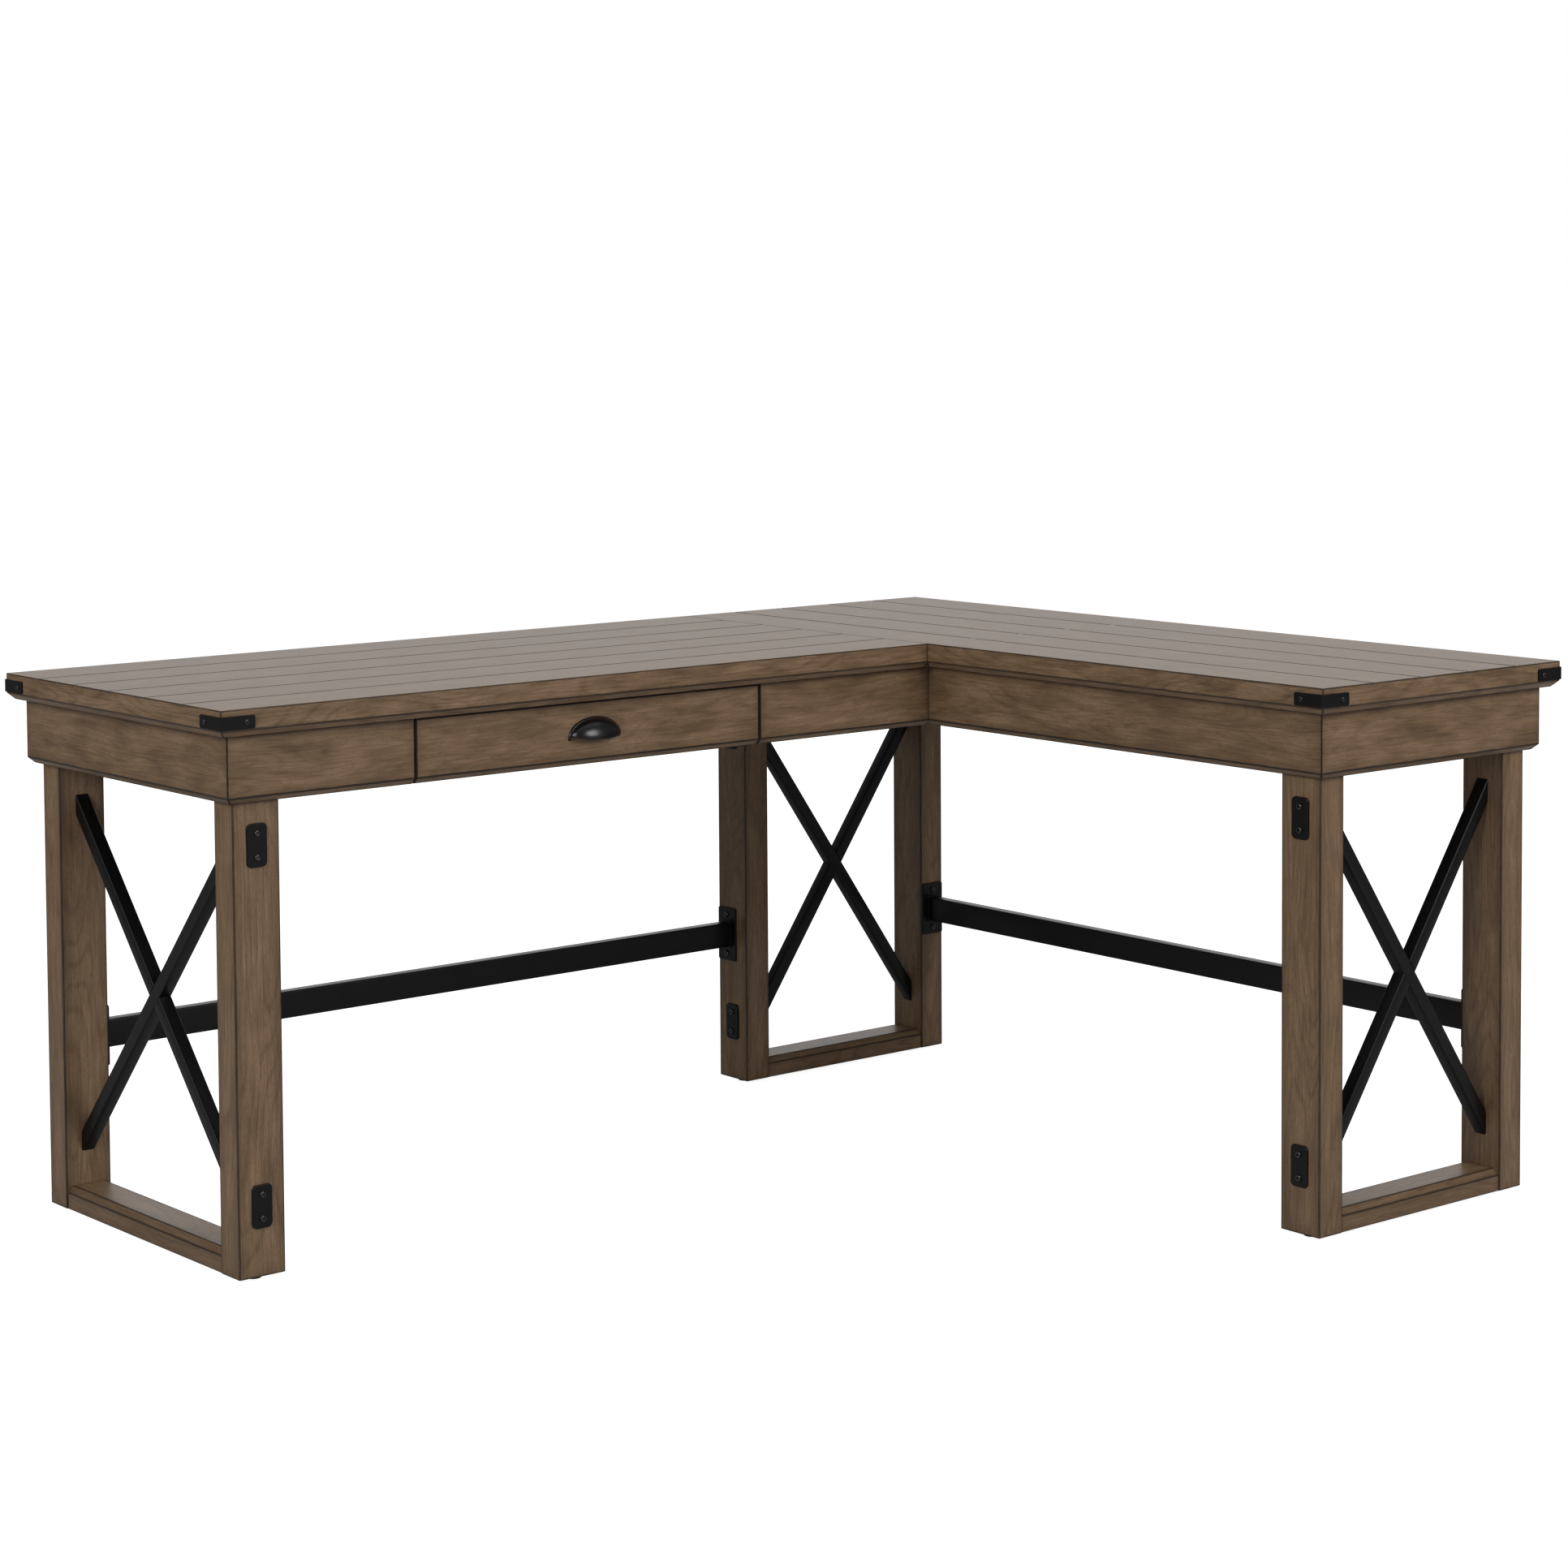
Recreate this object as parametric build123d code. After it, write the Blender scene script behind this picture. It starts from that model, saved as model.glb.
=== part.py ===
from build123d import *
import os
from math import atan2, degrees, hypot

# L-shaped corner desk: a main desk along X with one drawer, and a return that comes forward along -Y
# at its right end. Three braced leg frames carry it. Millimetres, +Z up, the floor is Z = 0 and the
# origin is under the middle of the whole footprint.

os.makedirs("parts", exist_ok=True)

# ---------------------------------------------------------------- overall sizes
OVERALL_LENGTH = 1715.0  # over both tops along X
OVERALL_DEPTH = 1375.0  # over the return along Y
DESK_HEIGHT = 762.0
MAIN_DEPTH = 590.0
RETURN_WIDTH = 500.0

# ---------------------------------------------------------------- tops
TOP_THICKNESS = 37.0
TOP_UNDERCUT = 9.0  # bevel under the vertical edge face
TOP_ARRIS = 1.2
MAIN_PLANKS = 6
RETURN_PLANKS = 5
GROOVE_WIDTH = 4.0
GROOVE_DEPTH = 2.0
GROOVE_LAND = 10.0  # uncut length where the return's grooves cross the main desk's front line
LAND_SETBACK = 9.0  # from the main desk's front line to the middle of that land

# ---------------------------------------------------------------- aprons
APRON_INSET = 20.0
APRON_THICKNESS = 16.0
APRON_HEIGHT = 90.0
APRON_BEVEL = 8.0
PANEL_END_ARRIS = 1.0

# ---------------------------------------------------------------- leg frames
LEG_THICKNESS = 47.0  # in the plane of its frame
LEG_WIDTH = 70.0  # across the frame
LEG_ARRIS = 1.5
FLOOR_RAIL_HEIGHT = 32.0
FLOOR_RAIL_RECESS = 2.0
FLOOR_RAIL_CHAMFER = 9.0  # along both upper edges
TOP_RAIL_HEIGHT = 45.0
TOP_RAIL_THICKNESS = 30.0
GLIDE_HEIGHT = 6.0
GLIDE_RADIUS = 11.0
GLIDE_PIN_RADIUS = 2.0
GLIDE_PIN_LENGTH = 18.0

# ---------------------------------------------------------------- steel braces and stretchers
BRACE_TUBE = 20.0
BRACE_WALL = 1.5
BRACE_LOW_Z = 100.0
BRACE_TOP_DROP = 148.0  # from the tops' underside to the upper end of a brace
STRETCHER_WIDTH = 20.0
STRETCHER_HEIGHT = 40.0
STRETCHER_WALL = 1.5
STRETCHER_Z = 243.0
FLANGE_WIDTH = 44.0
FLANGE_HEIGHT = 87.0
FLANGE_CORNER = 4.0
FLANGE_SCREW_PITCH = 64.0
STEEL_PLATE = 3.0
LEG_PLATE_WIDTH = 30.0
LEG_PLATE_HEIGHT = 58.0
LEG_PLATE_CORNER = 7.0
LEG_PLATE_SCREW_PITCH = 32.0
PLATE_EDGE_ROUND = 1.2

# ---------------------------------------------------------------- corner brackets on the tops
BRACKET_ARM = 50.0
BRACKET_HEIGHT = 17.5
BRACKET_THICKNESS = 2.0
BRACKET_BELOW_TOP = 8.5
BRACKET_BEND = 2.5
BRACKET_CORNER = 2.5  # at the free end of each arm
BRACKET_SCREW_FROM_CORNER = 38.0

# ---------------------------------------------------------------- fasteners
BOLT_HEAD_RADIUS = 4.6
BOLT_HEAD_HEIGHT = 2.6
BOLT_RADIUS = 2.5
BOLT_SOCKET_RADIUS = 2.0
HEAD_DOME_SHARE = 0.7  # of a head's height that is rounded
PLATE_BOLT_LENGTH = 36.0
WOOD_SCREW_RADIUS = 1.8
WOOD_SCREW_HEAD_RADIUS = 3.6
WOOD_SCREW_HEAD_HEIGHT = 1.6
HOLE_CLEARANCE = 0.1
HOLE_END_GAP = 1.0
TOP_SCREW_BITE = 18.0
BRACKET_SCREW_LENGTH = 18.0

# ---------------------------------------------------------------- drawer
DRAWER_FRONT_WIDTH = 592.0
DRAWER_GAP = 3.0  # each side of the drawer front
DRAWER_TOP_GAP = 2.0
DRAWER_LENGTH = 400.0
DRAWER_SIDE = 12.0
DRAWER_SIDE_HEIGHT = 66.0
DRAWER_BOX_LIFT = 11.0  # from the apron's lower edge to the lower edge of the box
DRAWER_BOTTOM = 5.0
DRAWER_BOTTOM_LIFT = 7.0
DRAWER_BOTTOM_TONGUE = 5.0
FRONT_SCREW_BITE = 10.0
PARTITION_THICKNESS = 16.0
PARTITION_LIFT = 5.0
SLIDE_GAP = 12.7  # between partition and drawer side
SLIDE_HEIGHT = 45.0
SLIDE_SHEET = 1.2
SLIDE_BALL_GAP = 2.0
SLIDE_CASE_FLANGE = 9.0
SLIDE_CARRIER_START = 2.7
SLIDE_CARRIER_END = 10.0
SLIDE_RUNNER_START = 5.0
SLIDE_CARRIER_SHORTER = 20.0
SLIDE_SETBACK = 2.0
SLIDE_SCREW_BITE = 10.0
SLIDE_SCREW_HEAD_HEIGHT = 1.0

# ---------------------------------------------------------------- cup pull
PULL_WIDTH = 90.0
PULL_RIM = 5.0
PULL_RIM_THICKNESS = 2.0
PULL_DEPTH = 24.0
PULL_RISE = 27.5  # from the lip to the top of the rim
PULL_FOOT_DROP = 4.0
PULL_WALL = 1.7
PULL_LIP_ABOVE_APRON = 39.5  # from the apron's lower edge to the lip
PULL_SCREW_PITCH = 64.0
PULL_SCREW_RISE = 9.0
PULL_POST_RADIUS = 4.0
PULL_SCREW_RADIUS = 2.0
PULL_SCREW_BITE = 4.8
PULL_HOLE_END_GAP = 0.3

# ---------------------------------------------------------------- corner blocks and joining bolts
BLOCK_SIZE = 30.0
BLOCK_HEIGHT = 60.0
BLOCK_DROP = 5.0
BLOCK_LEG_BITE = 20.0
BLOCK_APRON_BITE = 10.0
JOINING_BOLTS = 3
JOINING_BOLT_RADIUS = 3.0
JOINING_BOLT_HEAD_RADIUS = 7.0
JOINING_BOLT_HEAD_HEIGHT = 3.0

# ---------------------------------------------------------------- planes worked out from the above
LEFT = -OVERALL_LENGTH / 2
RIGHT = OVERALL_LENGTH / 2
BACK = OVERALL_DEPTH / 2
FRONT = -OVERALL_DEPTH / 2
SEAM_X = RIGHT - RETURN_WIDTH
MAIN_FRONT = BACK - MAIN_DEPTH
UNDER_TOP = DESK_HEIGHT - TOP_THICKNESS
APRON_BOTTOM = UNDER_TOP - APRON_HEIGHT
BRACE_HIGH_Z = UNDER_TOP - BRACE_TOP_DROP
LEG_INSET = APRON_INSET + APRON_THICKNESS
MAIN_MIDDLE_X = (LEFT + SEAM_X) / 2
APRON_FACE_Y = MAIN_FRONT + APRON_INSET
OPENING_HALF = DRAWER_FRONT_WIDTH / 2 + DRAWER_GAP
BOX_HALF = OPENING_HALF - SLIDE_GAP
FRONT_BACK_Y = APRON_FACE_Y + APRON_THICKNESS

saved = {}


def at(shapes, axis, value):
    """The faces or edges that lie at one position along an axis."""
    return shapes.filter_by_position(axis, value - 0.01, value + 0.01)


def save(name, *solids):
    """Keeps the solids of one node, to be written at the end."""
    saved.setdefault(name, []).extend(solids)


def block(x0, x1, y0, y1, z0, z1):
    """A box between two corners."""
    middle = Pos((x0 + x1) / 2, (y0 + y1) / 2, (z0 + z1) / 2)
    return middle * Box(abs(x1 - x0), abs(y1 - y0), abs(z1 - z0))


def rod(start, direction, length, radius):
    """A cylinder that starts at a point and runs along a direction."""
    base = Plane(origin=start, z_dir=direction)
    return extrude(base * Circle(radius), length)


def screw(seat, direction, length, radius, head_radius, head_height):
    """A dome-headed screw: the head stands on the seat, and the shank runs along the direction."""
    out = tuple(-value for value in direction)
    base = Plane(origin=seat, z_dir=out)
    head = extrude(base * Circle(head_radius), head_height)
    rim = head.edges().sort_by(Axis(seat, out))[-1]
    head = fillet(rim, head_height * HEAD_DOME_SHARE)
    return head + rod(seat, direction, length, radius)


def wood_screw(seat, direction, length):
    """A pan-headed wood screw."""
    return screw(seat, direction, length, WOOD_SCREW_RADIUS, WOOD_SCREW_HEAD_RADIUS, WOOD_SCREW_HEAD_HEIGHT)


def wood_hole(seat, direction, length):
    """The hole of a wood screw, a little longer and wider than its shank."""
    return rod(seat, direction, length + HOLE_END_GAP, WOOD_SCREW_RADIUS + HOLE_CLEARANCE)


def plate_bolt(seat, direction):
    """The socket-headed bolt that holds a steel plate or flange on a leg."""
    bolt = screw(seat, direction, PLATE_BOLT_LENGTH, BOLT_RADIUS, BOLT_HEAD_RADIUS, BOLT_HEAD_HEIGHT)
    out = tuple(-value for value in direction)
    recess = Plane(origin=seat, z_dir=out).offset(BOLT_HEAD_HEIGHT * 0.4)
    return bolt - extrude(recess * RegularPolygon(BOLT_SOCKET_RADIUS, 6), BOLT_HEAD_HEIGHT)


def plate_bolt_hole(seat, direction):
    """The hole of such a bolt, through the plate and into the leg."""
    return rod(seat, direction, PLATE_BOLT_LENGTH + HOLE_END_GAP, BOLT_RADIUS + HOLE_CLEARANCE)


# ---------------------------------------------------------------- tops


def groove(start, end):
    """The V-shaped cutter of one plank joint, along a straight line at the top surface."""
    length = hypot(end[0] - start[0], end[1] - start[1])
    turn = degrees(atan2(end[1] - start[1], end[0] - start[0]))
    half = GROOVE_WIDTH / 2
    profile = Polyline((-half, 0), (0, -GROOVE_DEPTH), (half, 0), (half, 1), (-half, 1), close=True)
    cutter = extrude(Plane.YZ * make_face(profile), length)
    return Pos(start[0], start[1], DESK_HEIGHT) * Rot(0, 0, turn) * cutter


def tops():
    """The two grooved slabs, cut from one L-shaped slab along the seam."""
    corners = [
        (LEFT, MAIN_FRONT),
        (SEAM_X, MAIN_FRONT),
        (SEAM_X, FRONT),
        (RIGHT, FRONT),
        (RIGHT, BACK),
        (LEFT, BACK),
    ]
    slab = Pos(0, 0, UNDER_TOP) * extrude(make_face(Polyline(*corners, close=True)), TOP_THICKNESS)
    slab = chamfer(at(slab.edges(), Axis.Z, UNDER_TOP), TOP_UNDERCUT)
    main = slab & block(LEFT, SEAM_X, FRONT, BACK, UNDER_TOP, DESK_HEIGHT)
    side = slab & block(SEAM_X, RIGHT, FRONT, BACK, UNDER_TOP, DESK_HEIGHT)
    main = chamfer(at(main.edges(), Axis.Z, DESK_HEIGHT), TOP_ARRIS)
    side = chamfer(at(side.edges(), Axis.Z, DESK_HEIGHT), TOP_ARRIS)
    for i in range(1, MAIN_PLANKS):
        y = MAIN_FRONT + MAIN_DEPTH * i / MAIN_PLANKS
        main -= groove((LEFT - 1, y), (SEAM_X + 1, y))
    land = MAIN_FRONT + LAND_SETBACK
    for i in range(1, RETURN_PLANKS):
        x = SEAM_X + RETURN_WIDTH * i / RETURN_PLANKS
        side -= groove((x, FRONT - 1), (x, land - GROOVE_LAND / 2))
        side -= groove((x, land + GROOVE_LAND / 2), (x, BACK + 1))
    return main, side


# ---------------------------------------------------------------- aprons


def apron(start, end, outward, mitre_start=False, mitre_end=False, bevel=APRON_BEVEL):
    """A board whose outer face runs from start to end, with its lower outer edge bevelled."""
    length = hypot(end[0] - start[0], end[1] - start[1])
    along = Vector(end[0] - start[0], end[1] - start[1], 0) / length
    out = Vector(outward[0], outward[1], 0)
    foot = Vector(start[0], start[1], APRON_BOTTOM)
    up = Vector(0, 0, 1)
    outline = [
        foot + up * APRON_HEIGHT,
        foot + up * bevel,
        foot - out * bevel,
        foot - out * APRON_THICKNESS,
        foot - out * APRON_THICKNESS + up * APRON_HEIGHT,
    ]
    if not bevel:
        outline.pop(1)
    board = extrude(make_face(Polyline(*outline, close=True)), length, dir=along)
    if mitre_start:
        cut = Plane(origin=foot, z_dir=along + out)
        board = split(board, bisect_by=cut, keep=Keep.TOP)
    if mitre_end:
        cut = Plane(origin=foot + along * length, z_dir=out - along)
        board = split(board, bisect_by=cut, keep=Keep.TOP)
    return board


def panel_arris(board, x):
    """Eases the edges of a front panel where it meets the drawer gap."""
    face = at(board.faces(), Axis.X, x)[0]
    front = face.edges().filter_by_position(Axis.Y, APRON_FACE_Y - 0.1, APRON_FACE_Y + APRON_BEVEL - 0.1)
    return chamfer(front, PANEL_END_ARRIS)


def aprons():
    """The boards under the edges of both tops."""
    left = LEFT + APRON_INSET
    right = RIGHT - APRON_INSET
    back = BACK - APRON_INSET
    front = FRONT + APRON_INSET
    inner = SEAM_X + APRON_INSET
    gap_left = MAIN_MIDDLE_X - OPENING_HALF
    gap_right = MAIN_MIDDLE_X + OPENING_HALF
    panel = apron((gap_left, APRON_FACE_Y), (left, APRON_FACE_Y), (0, -1), mitre_end=True)
    save("front_panel_left", panel_arris(panel, gap_left))
    panel = apron((inner, APRON_FACE_Y), (gap_right, APRON_FACE_Y), (0, -1))
    save("front_panel_right", panel_arris(panel, gap_right))
    save("main_end_apron", apron((left, APRON_FACE_Y), (left, back), (-1, 0), True, True))
    save("main_back_apron", apron((left, back), (inner, back), (0, 1), True, False))
    tie = apron((inner, MAIN_FRONT + LEG_INSET), (inner, BACK - LEG_INSET), (1, 0), bevel=0)
    save("main_inner_apron", tie)
    save("return_inner_apron", apron((inner, front), (inner, back), (-1, 0), True, True))
    save("return_front_apron", apron((inner, front), (right, front), (0, -1), True, True))
    save("return_outer_apron", apron((right, front), (right, back), (1, 0), True, True))
    save("return_back_apron", apron((inner, back), (right, back), (0, 1), True, True))


# ---------------------------------------------------------------- leg frames


def leg(u):
    """One upright, in its frame's own axes: X along the frame, Y across it."""
    half_thickness = LEG_THICKNESS / 2
    half_width = LEG_WIDTH / 2
    post = block(u - half_thickness, u + half_thickness, -half_width, half_width, GLIDE_HEIGHT, UNDER_TOP)
    return chamfer(post.edges().filter_by(Axis.Z), LEG_ARRIS)


def brace_tube(start, end):
    """The outside and the bore of a square tube between two points of the frame's XZ plane.

    Both are longer than the distance, so that the legs' faces can trim them.
    """
    length = hypot(end[0] - start[0], end[1] - start[1]) + 4 * BRACE_TUBE
    turn = degrees(atan2(end[1] - start[1], end[0] - start[0]))
    place = Pos((start[0] + end[0]) / 2, 0, (start[1] + end[1]) / 2) * Rot(0, -turn, 0)
    bore = BRACE_TUBE - 2 * BRACE_WALL
    return place * Box(length, BRACE_TUBE, BRACE_TUBE), place * Box(length, bore, bore)


def brace(half):
    """The X brace between two legs: one bar runs through, and the other is two halves welded to it."""
    clear = block(-half, half, -BRACE_TUBE, BRACE_TUBE, GLIDE_HEIGHT, UNDER_TOP)
    rising, rising_bore = brace_tube((-half, BRACE_LOW_Z), (half, BRACE_HIGH_Z))
    falling, falling_bore = brace_tube((-half, BRACE_HIGH_Z), (half, BRACE_LOW_Z))
    through = (falling - falling_bore) & clear
    halves = ((rising - rising_bore) & clear) - falling
    return through, halves


def rounded_plate(plane, width, height, corner):
    """A steel plate on a plane, with rounded corners and a softened outer edge."""
    plate = extrude(plane * RectangleRounded(width, height, corner), STEEL_PLATE)
    rim = plate.faces().sort_by(Axis(plane.origin, plane.z_dir))[-1]
    return fillet(rim.edges(), PLATE_EDGE_ROUND)


def glide(u):
    """A round foot with a driven pin, under one leg."""
    pad = Pos(u, 0, GLIDE_HEIGHT / 2) * Cylinder(GLIDE_RADIUS, GLIDE_HEIGHT)
    pad = fillet(at(pad.edges(), Axis.Z, 0), GLIDE_HEIGHT / 3)
    return pad + rod((u, 0, GLIDE_HEIGHT), (0, 0, 1), GLIDE_PIN_LENGTH, GLIDE_PIN_RADIUS)


def leg_frame(span):
    """All pieces of one leg frame of a given outer width, in the frame's own axes."""
    u = span / 2 - LEG_THICKNESS / 2
    clear_half = span / 2 - LEG_THICKNESS
    pieces = {"legs": [], "plates": [], "bolts": [], "glides": []}
    for side in (-1, 1):
        post = leg(side * u)
        pin_end = GLIDE_PIN_LENGTH + HOLE_END_GAP
        post -= rod((side * u, 0, GLIDE_HEIGHT), (0, 0, 1), pin_end, GLIDE_PIN_RADIUS + HOLE_CLEARANCE)
        pieces["glides"].append(glide(side * u))
        inward = (-side, 0, 0)
        for z in (BRACE_LOW_Z, BRACE_HIGH_Z):
            face = Plane(origin=(side * span / 2, 0, z), x_dir=(0, side, 0), z_dir=(side, 0, 0))
            plate = rounded_plate(face, LEG_PLATE_WIDTH, LEG_PLATE_HEIGHT, LEG_PLATE_CORNER)
            for step in (-0.5, 0.5):
                seat = (side * (span / 2 + STEEL_PLATE), 0, z + step * LEG_PLATE_SCREW_PITCH)
                hole = plate_bolt_hole(seat, inward)
                plate -= hole
                post -= hole
                pieces["bolts"].append(plate_bolt(seat, inward))
            pieces["plates"].append(plate)
        pieces["legs"].append(post)
    half_width = LEG_WIDTH / 2 - FLOOR_RAIL_RECESS
    top_of_rail = GLIDE_HEIGHT + FLOOR_RAIL_HEIGHT
    rail = block(-clear_half, clear_half, -half_width, half_width, GLIDE_HEIGHT, top_of_rail)
    upper = at(rail.edges().filter_by(Axis.X), Axis.Z, top_of_rail)
    pieces["floor_rail"] = chamfer(upper, FLOOR_RAIL_CHAMFER)
    half_top = TOP_RAIL_THICKNESS / 2
    rail = block(-clear_half, clear_half, -half_top, half_top, UNDER_TOP - TOP_RAIL_HEIGHT, UNDER_TOP)
    pieces["top_screws"] = []
    for step in (-1, 1):
        seat = (step * clear_half / 2, 0, UNDER_TOP - TOP_RAIL_HEIGHT)
        rail -= wood_hole(seat, (0, 0, 1), TOP_RAIL_HEIGHT)
        pieces["top_screws"].append(wood_screw(seat, (0, 0, 1), TOP_RAIL_HEIGHT + TOP_SCREW_BITE))
    pieces["top_rail"] = rail
    pieces["through_bar"], pieces["half_bars"] = brace(clear_half)
    return pieces


def placed_frames():
    """The three frames with their names, where they stand and what each leg is called."""
    across = LEG_INSET + LEG_WIDTH / 2
    main_middle = (MAIN_FRONT + BACK) / 2
    return_middle = (SEAM_X + RIGHT) / 2
    main_span = MAIN_DEPTH - 2 * LEG_INSET
    return_span = RETURN_WIDTH - 2 * LEG_INSET
    left_place = Pos(LEFT + across, main_middle, 0) * Rot(0, 0, 90)
    back_place = Pos(return_middle, BACK - across, 0)
    front_place = Pos(return_middle, FRONT + across, 0)
    return [
        ("left", main_span, left_place, ("left_leg_front", "left_leg_rear")),
        ("back", return_span, back_place, ("back_leg_inner", "back_leg_outer")),
        ("front", return_span, front_place, ("front_leg_inner", "front_leg_outer")),
    ]


# ---------------------------------------------------------------- stretchers between the frames


def stretcher(name, start, end):
    """A rectangular tube between two leg faces, with a screwed flange at each end."""
    direction = (Vector(*end) - Vector(*start)).normalized()
    length = (Vector(*end) - Vector(*start)).length
    base = Plane(origin=start, x_dir=direction.cross(Vector(0, 0, 1)), z_dir=direction)
    section = Rectangle(STRETCHER_WIDTH, STRETCHER_HEIGHT)
    hollow = Rectangle(STRETCHER_WIDTH - 2 * STRETCHER_WALL, STRETCHER_HEIGHT - 2 * STRETCHER_WALL)
    tube_length = length - 2 * STEEL_PLATE
    save(name, extrude(base.offset(STEEL_PLATE) * (section - hollow), tube_length))
    holes = []
    for foot, way in ((Vector(*start), direction), (Vector(*end), direction * -1)):
        face = Plane(origin=foot, x_dir=way.cross(Vector(0, 0, 1)), z_dir=way)
        flange = rounded_plate(face, FLANGE_WIDTH, FLANGE_HEIGHT, FLANGE_CORNER)
        for step in (-0.5, 0.5):
            seat = tuple(foot + way * STEEL_PLATE + Vector(0, 0, step * FLANGE_SCREW_PITCH))
            into = tuple(way * -1)
            hole = plate_bolt_hole(seat, into)
            flange -= hole
            holes.append(hole)
            save("stretcher_bolts", plate_bolt(seat, into))
        save("stretcher_flanges", flange)
    return holes


# ---------------------------------------------------------------- corner brackets


def corner_bracket(corner, x_way, y_way):
    """A bent strip round one corner of a top, the holes for its screws, and the screws."""
    x, y = corner
    z0 = DESK_HEIGHT - BRACKET_BELOW_TOP - BRACKET_HEIGHT
    z1 = DESK_HEIGHT - BRACKET_BELOW_TOP
    t = BRACKET_THICKNESS
    outside = block(x - x_way * t, x + x_way * BRACKET_ARM, y - y_way * t, y + y_way * BRACKET_ARM, z0, z1)
    bend = outside.edges().filter_by(Axis.Z).sort_by_distance((x - x_way * t, y - y_way * t, z0))[0]
    outside = fillet(bend, BRACKET_BEND)
    strip = outside - block(x, x + x_way * BRACKET_ARM * 2, y, y + y_way * BRACKET_ARM * 2, z0 - 1, z1 + 1)
    x_ends = at(strip.edges().filter_by(Axis.Y), Axis.X, x + x_way * BRACKET_ARM)
    y_ends = at(strip.edges().filter_by(Axis.X), Axis.Y, y + y_way * BRACKET_ARM)
    strip = fillet([*x_ends, *y_ends], BRACKET_CORNER)
    middle = (z0 + z1) / 2
    screws = []
    holes = []
    arms = [
        ((x + x_way * BRACKET_SCREW_FROM_CORNER, y - y_way * t, middle), (0, y_way, 0)),
        ((x - x_way * t, y + y_way * BRACKET_SCREW_FROM_CORNER, middle), (x_way, 0, 0)),
    ]
    for seat, way in arms:
        hole = wood_hole(seat, way, BRACKET_SCREW_LENGTH)
        strip -= hole
        holes.append(hole)
        screws.append(wood_screw(seat, way, BRACKET_SCREW_LENGTH))
    return strip, holes, screws


# ---------------------------------------------------------------- drawer


def slide(side):
    """The three members of one ball-bearing slide, on the left (-1) or right (+1) of the drawer."""
    wall = MAIN_MIDDLE_X + side * OPENING_HALF
    middle = APRON_BOTTOM + DRAWER_BOX_LIFT + DRAWER_SIDE_HEIGHT / 2
    front = FRONT_BACK_Y + SLIDE_SETBACK
    back = front + DRAWER_LENGTH
    carrier_height = SLIDE_HEIGHT - 2 * SLIDE_SHEET - 2 * SLIDE_BALL_GAP
    runner_height = carrier_height - 2 * SLIDE_SHEET - 2 * SLIDE_BALL_GAP

    def channel(near, far, height, y0, y1, open_to_drawer):
        """A C-shaped sheet member between two distances from the partition."""
        x0 = wall - side * near
        x1 = wall - side * far
        outer = block(x0, x1, y0, y1, middle - height / 2, middle + height / 2)
        inner_near = near + SLIDE_SHEET if open_to_drawer else near - 1
        inner_far = far + 1 if open_to_drawer else far - SLIDE_SHEET
        low = middle - height / 2 + SLIDE_SHEET
        high = middle + height / 2 - SLIDE_SHEET
        return outer - block(wall - side * inner_near, wall - side * inner_far, y0 - 1, y1 + 1, low, high)

    case = channel(0, SLIDE_CASE_FLANGE, SLIDE_HEIGHT, front, back, True)
    carrier_back = back - SLIDE_CARRIER_SHORTER
    carrier = channel(SLIDE_CARRIER_START, SLIDE_CARRIER_END, carrier_height, front, carrier_back, True)
    runner = channel(SLIDE_RUNNER_START, SLIDE_GAP, runner_height, front, back, False)
    screws = []
    holes = []
    for share in (0.1, 0.5, 0.9):
        seat = (wall - side * SLIDE_SHEET, front + DRAWER_LENGTH * share, middle)
        way = (side, 0, 0)
        length = SLIDE_SHEET + SLIDE_SCREW_BITE
        hole = wood_hole(seat, way, length)
        case -= hole
        holes.append(hole)
        head = (WOOD_SCREW_HEAD_RADIUS, SLIDE_SCREW_HEAD_HEIGHT)
        screws.append(screw(seat, way, length, WOOD_SCREW_RADIUS, *head))
    return case, carrier, runner, screws, holes


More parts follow.
